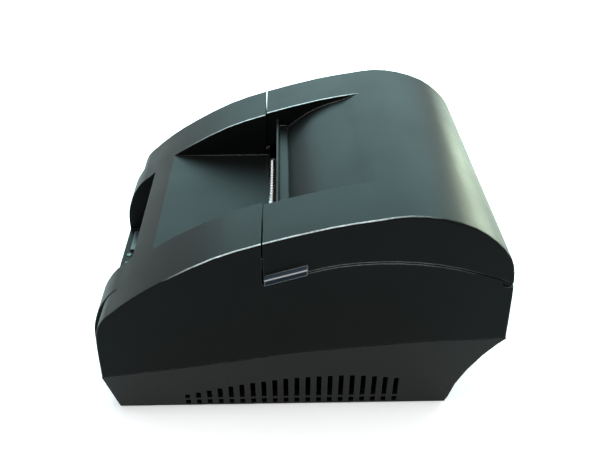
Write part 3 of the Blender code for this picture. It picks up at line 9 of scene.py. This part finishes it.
import bmesh
import bpy
from mathutils import Matrix, Vector


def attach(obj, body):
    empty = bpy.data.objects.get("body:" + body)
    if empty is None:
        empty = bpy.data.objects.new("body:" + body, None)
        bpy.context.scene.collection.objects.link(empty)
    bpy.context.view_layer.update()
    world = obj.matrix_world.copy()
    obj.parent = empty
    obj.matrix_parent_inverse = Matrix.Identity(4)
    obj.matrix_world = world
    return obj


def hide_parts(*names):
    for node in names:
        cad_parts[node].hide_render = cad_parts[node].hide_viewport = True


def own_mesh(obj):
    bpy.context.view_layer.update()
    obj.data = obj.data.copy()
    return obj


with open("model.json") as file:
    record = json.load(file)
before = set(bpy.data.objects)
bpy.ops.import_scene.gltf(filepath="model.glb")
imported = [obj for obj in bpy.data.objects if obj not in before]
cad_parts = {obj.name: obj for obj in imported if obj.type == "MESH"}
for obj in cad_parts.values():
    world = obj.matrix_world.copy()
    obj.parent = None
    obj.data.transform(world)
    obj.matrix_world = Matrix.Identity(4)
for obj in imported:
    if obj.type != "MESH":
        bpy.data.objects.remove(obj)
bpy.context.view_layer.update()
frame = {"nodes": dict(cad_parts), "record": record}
nodes = frame["nodes"]
bodies = frame["record"]["behaviour"]["bodies"]
body_of = {node: body for body, members in bodies.items() for node in members}
slot_of = {entry["node"]: entry["material_slot"] for entry in frame["record"]["subparts"]}


def add_object(name, data):
    created = bpy.data.objects.new(name, data)
    bpy.context.scene.collection.objects.link(created)
    return created


# Camera, at the place and angle of the photograph

camera_place = (0.2556, -0.00285, 0.2082)
camera_yaw = math.radians(1.22)
camera_pitch = math.radians(33.02)
camera_near = 0.01
lens_mm = 47.4
sensor_mm = 36.0


def add_camera():
    data = bpy.data.cameras.new("camera")
    data.lens = lens_mm
    data.sensor_width = sensor_mm
    data.clip_start = camera_near
    camera = add_object("camera", data)
    level = math.cos(camera_pitch)
    forward = Vector((-math.cos(camera_yaw) * level, math.sin(camera_yaw) * level, -math.sin(camera_pitch)))
    right = Vector((math.sin(camera_yaw), math.cos(camera_yaw), 0.0))
    up = right.cross(forward)
    turn = Matrix((right, up, -forward)).transposed().to_4x4()
    camera.matrix_world = Matrix.Translation(Vector(camera_place)) @ turn
    bpy.context.scene.camera = camera


# Node trees

# Most values of a noise texture lie between these two
noise_start = 0.3
noise_end = 0.7

bevel_samples = 6

# Cosine between a face's own normal and the one rounded over its edges: fully an edge, and not at all
edge_cosine = 0.75
flat_cosine = 0.99


class Tree:
    """A short way to write the nodes of a material or of the world."""

    def __init__(self, owner, shader="Principled BSDF"):
        owner.use_nodes = True
        self.owner = owner
        self.nodes = owner.node_tree.nodes
        self.links = owner.node_tree.links
        self.shader = self.nodes[shader]

    def feed(self, socket, value):
        """Link another socket to this one, or set its value."""
        if isinstance(value, bpy.types.NodeSocket):
            self.links.new(value, socket)
        elif socket.type == "RGBA":
            socket.default_value = (*value, 1.0)
        else:
            socket.default_value = value

    def add(self, kind, inputs=None, **settings):
        node = self.nodes.new(kind)
        for key, value in settings.items():
            setattr(node, key, value)
        for key, value in (inputs or {}).items():
            self.feed(node.inputs[key], value)
        return node

    def put(self, **values):
        """Set or link the shader's inputs, and return what the tree belongs to."""
        for key, value in values.items():
            self.feed(self.shader.inputs[key.replace("_", " ")], value)
        return self.owner

    def source(self, name):
        """The socket that feeds an input of the shader."""
        return self.shader.inputs[name].links[0].from_socket

    def place(self, stretch=None):
        """The point on the piece, stretched along the axes."""
        source = self.nodes.get("Place") or self.add("ShaderNodeTexCoord", name="Place")
        point = source.outputs["Object"]
        if stretch is None:
            return point
        return self.add("ShaderNodeMapping", {"Vector": point, "Scale": stretch}).outputs["Vector"]

    def noise(self, scale, detail=2.0, roughness=0.5, stretch=None):
        inputs = {"Vector": self.place(stretch), "Scale": scale, "Detail": detail, "Roughness": roughness}
        return self.add("ShaderNodeTexNoise", inputs).outputs["Fac"]

    def cells(self, scale):
        return self.add("ShaderNodeTexVoronoi", {"Vector": self.place(), "Scale": scale}).outputs["Distance"]

    def spread(self, value, low, high, start=noise_start, end=noise_end):
        """Map a value from between start and end to between low and high."""
        inputs = {"Value": value, "From Min": start, "From Max": end, "To Min": low, "To Max": high}
        return self.add("ShaderNodeMapRange", inputs).outputs["Result"]

    def rise(self, value, start=noise_start, end=noise_end):
        """0 before the start and 1 after the end."""
        return self.spread(value, 0.0, 1.0, start, end)

    def fall(self, value, start, end):
        """1 before the start and 0 after the end."""
        return self.spread(value, 1.0, 0.0, start, end)

    def band(self, value, rise, fall):
        """1 between a rise and a fall, and 0 outside them."""
        return self.maths("MULTIPLY", self.rise(value, *rise), self.fall(value, *fall))

    def blend(self, amount, first, second):
        node = self.add("ShaderNodeMix", data_type="RGBA")
        for index, value in ((0, amount), (6, first), (7, second)):
            self.feed(node.inputs[index], value)
        return node.outputs[2]

    def maths(self, operation, first, *others):
        """The operation on one value or two, or on more of them in turn."""
        result = first
        for other in others or (0.0,):
            result = self.add("ShaderNodeMath", {0: result, 1: other}, operation=operation).outputs[0]
        return result

    def split(self, vector):
        return self.add("ShaderNodeSeparateXYZ", {"Vector": vector}).outputs

    def edge(self, radius):
        """How close a point is to a sharp edge, and the normal rounded over that edge."""
        rounded = self.add("ShaderNodeBevel", {"Radius": radius}, samples=bevel_samples).outputs["Normal"]
        flat = self.add("ShaderNodeNewGeometry").outputs["Normal"]
        match = self.add("ShaderNodeVectorMath", {0: rounded, 1: flat}, operation="DOT_PRODUCT")
        return self.fall(match.outputs["Value"], edge_cosine, flat_cosine), rounded

    def own_normal(self):
        """The face's normal in the piece's own axes, which turn with it."""
        flat = self.add("ShaderNodeNewGeometry").outputs["True Normal"]
        settings = {"vector_type": "NORMAL", "convert_from": "WORLD", "convert_to": "OBJECT"}
        return self.add("ShaderNodeVectorTransform", {"Vector": flat}, **settings).outputs["Vector"]

    def bump(self, height, strength, depth, normal=None):
        inputs = {"Height": height, "Strength": strength, "Distance": depth}
        if normal is not None:
            inputs["Normal"] = normal
        return self.add("ShaderNodeBump", inputs).outputs["Normal"]


def new_material(name):
    return Tree(bpy.data.materials.new(name))


# Plastic, with lighter edges that are partly wear and partly painted highlight, and the case's painted
# highlight lines


def moulded_tree(name, colour, light, roughness, grain, tint, level, edge_radius=0.00030, wear_and_highlight_amount=0.35):
    """Moulded plastic: a fine eroded grain, faint flow clouds, and lighter edges, partly wear and partly a
    painted highlight.
    """
    tree = new_material(name)
    clouds = tree.noise(38.0, detail=3.0, roughness=0.55)
    fine = tree.noise(2600.0, detail=3.0, roughness=0.7)
    pits = tree.cells(1700.0)
    near_edge, rounded = tree.edge(edge_radius)
    patches = tree.rise(tree.noise(260.0, detail=4.0, roughness=0.65), 0.42, 0.62)
    # Edges made lighter: partly edge wear, partly a painted highlight.
    wear_and_highlight = tree.maths("MULTIPLY", near_edge, tree.spread(patches, 0.35, 1.0, start=0.0, end=1.0), wear_and_highlight_amount)
    wear_and_highlight_colour = tuple(min(1.0, 7.0 * value + 0.10) for value in colour)
    base = tree.blend(tree.rise(clouds), colour, light)
    base = tree.blend(wear_and_highlight, base, wear_and_highlight_colour)
    rough = tree.spread(clouds, roughness - 0.03, roughness + 0.04)
    rough = tree.maths("ADD", rough, tree.spread(fine, -0.05, 0.05))
    rough = tree.maths("SUBTRACT", rough, tree.maths("MULTIPLY", near_edge, 0.16))
    height = tree.maths("ADD", fine, tree.maths("MULTIPLY", pits, 0.7))
    normal = tree.bump(height, strength=grain, depth=0.00004, normal=rounded)
    tree.put(Base_Color=base, Roughness=rough, Normal=normal, Specular_IOR_Level=level, Specular_Tint=tint)
    return tree


def moulded(name, **look):
    return moulded_tree(name, **look).owner


# How much wider than the case's exit channel the lid's recess is, on each side
channel_step = 0.0014

# Painted highlight: the colour of the thin bright lines along the case's edges.
painted_highlight = (0.72, 0.74, 0.74)
# Painted shade on the finger tabs' outer faces, and painted light on their upward faces.
tab_painted_shade = (0.012, 0.019, 0.030)
tab_painted_light = (0.045, 0.066, 0.090)


def rim_mask(tree, place, outward, across):
    """The rounded upper rims of the side walls, where a highlight line is painted."""
    return tree.maths(
        "MULTIPLY",
        tree.band(across, rise=(0.20, 0.30), fall=(0.55, 0.75)),
        tree.band(outward, rise=(0.0570, 0.0572), fall=(0.0580, 0.0581)),
        tree.band(place["Y"], rise=(-0.042, -0.026), fall=(0.022, 0.045)),
        tree.rise(place["Z"], 0.044, 0.056),
    )


def paper_edge_mask(tree, place, upward):
    """The upper edge of the exit channel and of the lid's recess, on the side away from the camera, where a
    highlight line is painted.
    """
    before_lid = tree.fall(place["Y"], -0.0103, -0.0100)
    sideways = tree.maths("ADD", place["X"], tree.maths("MULTIPLY", before_lid, -channel_step))
    return tree.maths(
        "MULTIPLY",
        tree.band(sideways, rise=(-0.0359, -0.0355), fall=(-0.0350, -0.0348)),
        tree.band(place["Y"], rise=(-0.046, -0.016), fall=(0.020, 0.027)),
        tree.rise(upward, 0.4, 0.6),
    )


def seam_mask(tree, place, outward, highlight_edge):
    """The lid's lower edge behind the finger tab, where a highlight line is painted."""
    return tree.maths(
        "MULTIPLY",
        tree.rise(outward, 0.0574, 0.0578),
        tree.band(place["Z"], rise=(0.0600, 0.0610), fall=(0.0662, 0.0668)),
        tree.band(place["Y"], rise=(-0.010, 0.004), fall=(0.040, 0.062)),
        tree.spread(highlight_edge, 0.0, 0.28, start=0.05, end=0.30),
    )


def tab_masks(tree, outward, across, highlight_edge):
    """The finger tabs, the part of them that faces up, and their painted highlight lines; the upward part
    gets painted light and the rest painted shade.
    """
    tab = tree.spread(outward, 0.0, 0.85, start=0.0581, end=0.0584)
    above = tree.fall(across, 0.3, 0.8)
    line = tree.maths("MULTIPLY", above, tree.rise(outward, 0.0594, 0.0597))
    foot = tree.spread(highlight_edge, 0.0, 0.4, start=0.30, end=0.70)
    foot = tree.maths("MULTIPLY", tree.maths("SUBTRACT", 1.0, above), foot)
    return tab, above, tree.maths("MULTIPLY", tab, tree.maths("MAXIMUM", line, foot))


def case_with_painted_highlights(name, **look):
    """The case's plastic, with painted highlight lines on the upper rims, paper edge and seam, and painted
    light and shade on the finger tabs.
    """
    tree = moulded_tree(name, **look)
    place = tree.split(tree.place())
    outward = tree.maths("ABSOLUTE", place["X"])
    facing = tree.split(tree.own_normal())
    across = tree.maths("ABSOLUTE", facing["X"])
    # An edge mask that places painted highlight lines on the seam and on the tabs' foot.
    highlight_edge = tree.edge(0.0008)[0]
    # Where highlight lines are painted: upper rims, paper edge and seam.
    edge_highlights = tree.maths(
        "MAXIMUM",
        rim_mask(tree, place, outward, across),
        paper_edge_mask(tree, place, facing["Z"]),
        seam_mask(tree, place, outward, highlight_edge),
    )
    # Noise that breaks the painted highlight lines into pieces.
    highlight_breakup = tree.spread(tree.noise(700.0, detail=4.0, roughness=0.7), 0.45, 1.0, start=0.35, end=0.60)
    tab, above, tab_lines = tab_masks(tree, outward, across, highlight_edge)
    # Finger tabs: painted light on the upward part, painted shade on the rest.
    base = tree.blend(tab, tree.source("Base Color"), tree.blend(above, tab_painted_shade, tab_painted_light))
    # All painted highlight lines, in the painted highlight colour.
    lines = tree.maths("MAXIMUM", tree.maths("MULTIPLY", edge_highlights, highlight_breakup), tab_lines)
    return tree.put(Base_Color=tree.blend(lines, base, painted_highlight))


# Rubber, metal and small electrical pieces


def rubber_like(name, colour, dusty):
    tree = new_material(name)
    dust = tree.rise(tree.noise(420.0, detail=4.0, roughness=0.7), 0.45, 0.75)
    fine = tree.noise(5200.0, roughness=0.6)
    rounded = tree.edge(0.0003)[1]
    return tree.put(
        Base_Color=tree.blend(dust, colour, dusty),
        Roughness=tree.spread(dust, 0.72, 0.88, start=0.0, end=1.0),
        Normal=tree.bump(tree.maths("ADD", fine, dust), strength=0.25, depth=0.00005, normal=rounded),
        Specular_IOR_Level=0.25,
    )


def metal(name, colour, dark, roughness, stretch, strength=0.12):
    """Rolled or ground metal, with fine lines along one direction and faint tarnish."""
    tree = new_material(name)
    lines = tree.noise(900.0, detail=3.0, roughness=0.6, stretch=stretch)
    tarnish = tree.spread(tree.noise(150.0, detail=4.0, roughness=0.6), 0.0, 0.6, start=0.4, end=0.75)
    rough = tree.spread(lines, roughness - 0.06, roughness + 0.08)
    return tree.put(
        Base_Color=tree.blend(tarnish, colour, dark),
        Roughness=tree.maths("ADD", rough, tree.maths("MULTIPLY", tarnish, 0.10)),
        Normal=tree.bump(lines, strength, depth=0.00003, normal=tree.edge(0.00015)[1]),
        Metallic=1.0,
    )


mask_green = (0.010, 0.105, 0.045)
track_green = (0.030, 0.240, 0.100)
solder = (0.55, 0.55, 0.50)


def circuit_board(name):
    """Green solder mask over copper tracks, with small solder dots."""
    tree = new_material(name)
    pattern = {
        "Vector": tree.place(), "Scale": 210.0, "Bias": 0.0, "Brick Width": 1.9, "Row Height": 0.55,
        "Mortar Size": 0.03, "Mortar Smooth": 0.3,
    }
    tracks = tree.add("ShaderNodeTexBrick", pattern).outputs["Fac"]
    dots = tree.fall(tree.cells(420.0), 0.10, 0.16)
    return tree.put(
        Base_Color=tree.blend(dots, tree.blend(tracks, mask_green, track_green), solder),
        Roughness=tree.spread(tree.noise(800.0), 0.26, 0.40),
        Normal=tree.bump(tree.maths("ADD", tracks, dots), strength=0.30, depth=0.00008),
    )


def striped(name, colour, stripe, pitch, roughness):
    """A smooth strip with fine lines side by side, such as a film cable's conductors."""
    tree = new_material(name)
    turns = tree.maths("MULTIPLY", tree.split(tree.place())["X"], 2.0 * math.pi / pitch)
    mask = tree.rise(tree.maths("SINE", turns), 0.0, 0.25)
    return tree.put(
        Base_Color=tree.blend(mask, colour, stripe),
        Roughness=tree.spread(tree.noise(600.0), roughness - 0.04, roughness + 0.06),
        Normal=tree.bump(mask, strength=0.2, depth=0.00004),
    )


def lamp_lens(name, colour, deep):
    tree = new_material(name)
    depth = tree.rise(tree.noise(700.0, detail=3.0))
    return tree.put(
        Base_Color=tree.blend(depth, colour, deep),
        Roughness=tree.spread(depth, 0.34, 0.44, start=0.0, end=1.0),
        Normal=tree.bump(tree.cells(1500.0), strength=0.15, depth=0.00004),
        Specular_IOR_Level=0.30,
    )


# Each slot's material

neutral = (1.0, 1.0, 1.0)
cool = (0.96, 1.0, 1.0)

looks = {
    case_with_painted_highlights: {
        # A high edge amount here: the case's lighter edges are mostly a painted highlight.
        "case_black": dict(
            colour=(0.0041, 0.0045, 0.0045), light=(0.0056, 0.0062, 0.0062),
            roughness=0.43, grain=0.12, tint=cool, level=0.062, wear_and_highlight_amount=0.75,
        ),
    },
    moulded: {
        "pan_black": dict(
            colour=(0.0098, 0.0102, 0.0100), light=(0.0134, 0.0138, 0.0134),
            roughness=0.52, grain=0.14, tint=cool, level=0.115,
        ),
        "dark_plastic": dict(
            colour=(0.010, 0.010, 0.011), light=(0.015, 0.015, 0.016),
            roughness=0.50, grain=0.12, tint=neutral, level=0.45,
        ),
        # A full edge amount: this piece's lighter edges are mostly a painted highlight.
        "grey_plastic": dict(
            colour=(0.020, 0.028, 0.034), light=(0.027, 0.036, 0.043),
            roughness=0.42, grain=0.08, tint=(0.9, 0.97, 1.0), level=0.4, edge_radius=0.00045, wear_and_highlight_amount=1.0,
        ),
        "white_plastic": dict(
            colour=(0.74, 0.74, 0.70), light=(0.80, 0.80, 0.77),
            roughness=0.38, grain=0.05, tint=neutral, level=0.5, edge_radius=0.00012, wear_and_highlight_amount=0.0,
        ),
        "amber_plastic": dict(
            colour=(0.52, 0.30, 0.08), light=(0.62, 0.38, 0.12),
            roughness=0.38, grain=0.06, tint=neutral, level=0.5, edge_radius=0.00015, wear_and_highlight_amount=0.1,
        ),
    },
    rubber_like: {
        "rubber": dict(colour=(0.016, 0.016, 0.017), dusty=(0.034, 0.033, 0.032)),
    },
    circuit_board: {
        "board_green": dict(),
    },
    metal: {
        "bright_steel": dict(
            colour=(0.66, 0.67, 0.68), dark=(0.42, 0.42, 0.42), roughness=0.22, stretch=(0.06, 1.0, 1.0),
        ),
        "dull_steel": dict(
            colour=(0.50, 0.51, 0.52), dark=(0.34, 0.34, 0.33), roughness=0.40, stretch=(0.12, 1.0, 1.0),
            strength=0.18,
        ),
        "aluminium": dict(
            colour=(0.70, 0.71, 0.72), dark=(0.50, 0.50, 0.51), roughness=0.36, stretch=(0.05, 1.0, 1.0),
        ),
    },
    striped: {
        "ceramic": dict(
            colour=(0.50, 0.45, 0.37), stripe=(0.22, 0.17, 0.11), pitch=0.0010, roughness=0.24,
        ),
        "ribbon_brown": dict(
            colour=(0.30, 0.13, 0.03), stripe=(0.44, 0.22, 0.06), pitch=0.0008, roughness=0.30,
        ),
    },
    lamp_lens: {
        "lamp_green": dict(colour=(0.045, 0.085, 0.070), deep=(0.020, 0.050, 0.038)),
        "lamp_red": dict(colour=(0.085, 0.050, 0.046), deep=(0.055, 0.024, 0.022)),
    },
}
materials = {slot: make(slot, **look) for make, group in looks.items() for slot, look in group.items()}


# Finer copies of the solids

# Faces that turn less than this from the first one are in its flat region
flat_turn = math.radians(0.4)

# The area below which a region counts as small, in square metres
small_region = 0.000006

weld_distance = 0.000002
sliver_length = 0.000001

# Degrees up to which two regions shade into each other, and the same where one of them is small
usual_smoothing = (50.0, 50.0)
smoothing = {
    **dict.fromkeys(("upper_case", "lid", "base_pan"), (22.0, 50.0)),
    **dict.fromkeys(("platen_gear", "idler_gear", "motor_pinion", "tear_blade"), (25.0, 25.0)),
}


def flat_regions(geometry):
    """The flat region that each face is in, and each region's area and direction."""
    region_of = [-1] * len(geometry.faces)
    areas = []
    directions = []
    for seed in geometry.faces:
        if region_of[seed.index] >= 0:
            continue
        number = len(areas)
        region_of[seed.index] = number
        stack = [seed]
        total = Vector()
        while stack:
            face = stack.pop()
            total += face.normal * face.calc_area()
            for edge in face.edges:
                for other in edge.link_faces:
                    if region_of[other.index] < 0 and other.normal.dot(seed.normal) > math.cos(flat_turn):
                        region_of[other.index] = number
                        stack.append(other)
        areas.append(total.length)
        directions.append(total.normalized())
    return region_of, areas, directions


def region_normals(geometry, limit, fine_limit):
    """Corner normals from the flat regions: each counts by its area, so large faces stay flat."""
    region_of, areas, directions = flat_regions(geometry)
    threshold = math.cos(math.radians(limit))
    fine_threshold = math.cos(math.radians(fine_limit))
    normals = []
    for face in geometry.faces:
        own = region_of[face.index]
        for loop in face.loops:
            total = Vector()
            for number in {region_of[other.index] for other in loop.vert.link_faces}:
                small = min(areas[number], areas[own]) < small_region
                if directions[number].dot(directions[own]) > (fine_threshold if small else threshold):
                    total += directions[number] * areas[number]
            normals.append(total.normalized() if total.length else face.normal.copy())
    return normals


def finer_copy(node):
    """A welded copy of a solid, with its curved faces smooth and its flat ones flat."""
    geometry = bmesh.new()
    geometry.from_mesh(nodes[node].data)
    bmesh.ops.remove_doubles(geometry, verts=geometry.verts, dist=weld_distance)
    bmesh.ops.dissolve_degenerate(geometry, edges=geometry.edges, dist=sliver_length)
    geometry.normal_update()
    geometry.faces.ensure_lookup_table()
    normals = region_normals(geometry, *smoothing.get(node, usual_smoothing))
    mesh = bpy.data.meshes.new("look_" + node)
    geometry.to_mesh(mesh)
    geometry.free()
    mesh.shade_smooth()
    mesh.normals_split_custom_set([tuple(normal) for normal in normals])
    return add_object("look_" + node, mesh)


# Springs, as turns of wire in the room of their smooth stand-ins

spring_lean = math.radians(12.0)
spring_turns = 5.5
spring_wire = 0.00028
points_per_turn = 28

# The share of the wire that lies flat at each end
closed_share = 0.09


def wire_points(centre, along, reach, radius):
    side = Vector((1.0, 0.0, 0.0))
    upward = side.cross(along)
    count = int(spring_turns * points_per_turn)
    for index in range(count + 1):
        share = index / count
        rise = min(max((share - closed_share) / (1.0 - 2.0 * closed_share), 0.0), 1.0)
        turn = 2.0 * math.pi * spring_turns * share
        point = centre + along * (2.0 * rise - 1.0) * reach
        yield point + side * radius * math.cos(turn) + upward * radius * math.sin(turn)


def coil(name, node):
    """A compression spring with its axis and its fixed end."""
    solid = [vertex.co for vertex in nodes[node].data.vertices]
    centre = sum(solid, Vector()) / len(solid)
    along = Vector((0.0, -math.cos(spring_lean), -math.sin(spring_lean)))
    offsets = [point - centre for point in solid]
    reach = max(abs(offset.dot(along)) for offset in offsets) - spring_wire
    radius = max((offset - along * offset.dot(along)).length for offset in offsets) - spring_wire
    points = list(wire_points(centre, along, reach, radius))
    curve = bpy.data.curves.new(name, "CURVE")
    curve.dimensions = "3D"
    curve.bevel_depth = spring_wire
    curve.bevel_resolution = 3
    spline = curve.splines.new("POLY")
    spline.points.add(len(points) - 1)
    for target, point in zip(spline.points, points):
        target.co = (*point, 1.0)
    wire = add_object(name, curve)
    mesh = bpy.data.meshes.new_from_object(wire.evaluated_get(bpy.context.evaluated_depsgraph_get()))
    bpy.data.objects.remove(wire)
    mesh.shade_smooth()
    return add_object(name, mesh), along, centre + along * (reach + spring_wire)


def settle(piece, node):
    """Give a piece its material, let it ride where the node rides, and let it stand for the node."""
    name = slot_of[node]
    piece.data.materials.clear()
    piece.data.materials.append(materials[name])
    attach(piece, body_of[node])
    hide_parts(node)


def add_pieces():
    for node in nodes:
        if node.startswith("head_spring"):
            spring, along, fixed_end = coil("look_" + node, node)
            settle(spring, node)
            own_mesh(spring)
        else:
            settle(finer_copy(node), node)


# Floor and surroundings

floor_reach = 6.0
floor_drop = 0.0001
floor_glow = 0.45
sky_light = 0.30
sky_seen = 1.0


def seen_rays(tree):
    """1 for what the camera sees, also in a gloss or through a lens, and 0 for what only gives light."""
    path = tree.add("ShaderNodeLightPath").outputs
    return tree.maths("MAXIMUM", path["Is Camera Ray"], path["Is Glossy Ray"], path["Is Transmission Ray"])


def add_floor():
    geometry = bmesh.new()
    bmesh.ops.create_grid(geometry, x_segments=1, y_segments=1, size=floor_reach)
    mesh = bpy.data.meshes.new("floor")
    geometry.to_mesh(mesh)
    geometry.free()
    floor = add_object("floor", mesh)
    floor.location = (0.0, 0.0, -floor_drop)
    tree = new_material("floor")
    paper = tree.rise(tree.noise(60.0, detail=3.0))
    mesh.materials.append(tree.put(
        Base_Color=tree.blend(paper, (0.90, 0.90, 0.90), (0.92, 0.92, 0.92)),
        Roughness=0.9,
        Specular_IOR_Level=0.1,
        Emission_Color=(1.0, 1.0, 1.0),
        Emission_Strength=tree.maths("MULTIPLY", seen_rays(tree), floor_glow),
    ))


def add_world():
    world = bpy.data.worlds.new("world")
    bpy.context.scene.world = world
    tree = Tree(world, "Background")
    strength = tree.spread(seen_rays(tree), sky_light, sky_seen, start=0.0, end=1.0)
    tree.put(Color=(1.0, 1.0, 1.0), Strength=strength)


# Lamps: a wide window beyond the printer lights its top, and weaker lamps lift its other sides

middle = (0.0, 0.0, 0.04)
upper_rear = (0.04, 0.05, 0.07)
soft_white = (0.86, 0.97, 1.0)

lamps = {
    "window": dict(
        place=(-0.75, 0.0, 0.62), target=middle, size=(1.1, 0.8), watts=17.5, colour=(0.55, 0.97, 1.0),
    ),
    "rear_window": dict(
        place=(-0.22, 0.275, 0.09), target=upper_rear, size=(0.14, 0.07), watts=1.0, colour=(0.82, 1.0, 0.74),
    ),
    "front_window": dict(
        place=(-0.52, -0.42, 0.08), target=middle, size=(0.30, 0.12), watts=0.05, colour=(1.0, 0.84, 0.55),
    ),
    "ceiling": dict(place=(0.10, 0.0, 0.9), target=middle, size=(0.25, 0.5), watts=3.0, colour=neutral),
    "front_soft": dict(
        place=(0.0, -0.85, 0.55), target=middle, size=(0.9, 0.6), watts=2.5, colour=soft_white,
    ),
    "back_soft": dict(
        place=(0.0, 0.85, 0.55), target=middle, size=(0.9, 0.6), watts=2.5, colour=soft_white,
    ),
}


def add_lamp(name, place, target, size, watts, colour):
    data = bpy.data.lights.new(name, "AREA")
    data.shape = "RECTANGLE"
    data.size, data.size_y = size
    data.energy = watts
    data.color = colour
    lamp = add_object(name, data)
    lamp.visible_camera = False
    direction = Vector(target) - Vector(place)
    lamp.matrix_world = Matrix.Translation(place) @ direction.to_track_quat("-Z", "Y").to_matrix().to_4x4()


add_camera()
add_pieces()
add_floor()
add_world()
for lamp_name, lamp_look in lamps.items():
    add_lamp(lamp_name, **lamp_look)
bpy.context.scene.view_settings.view_transform = "Standard"
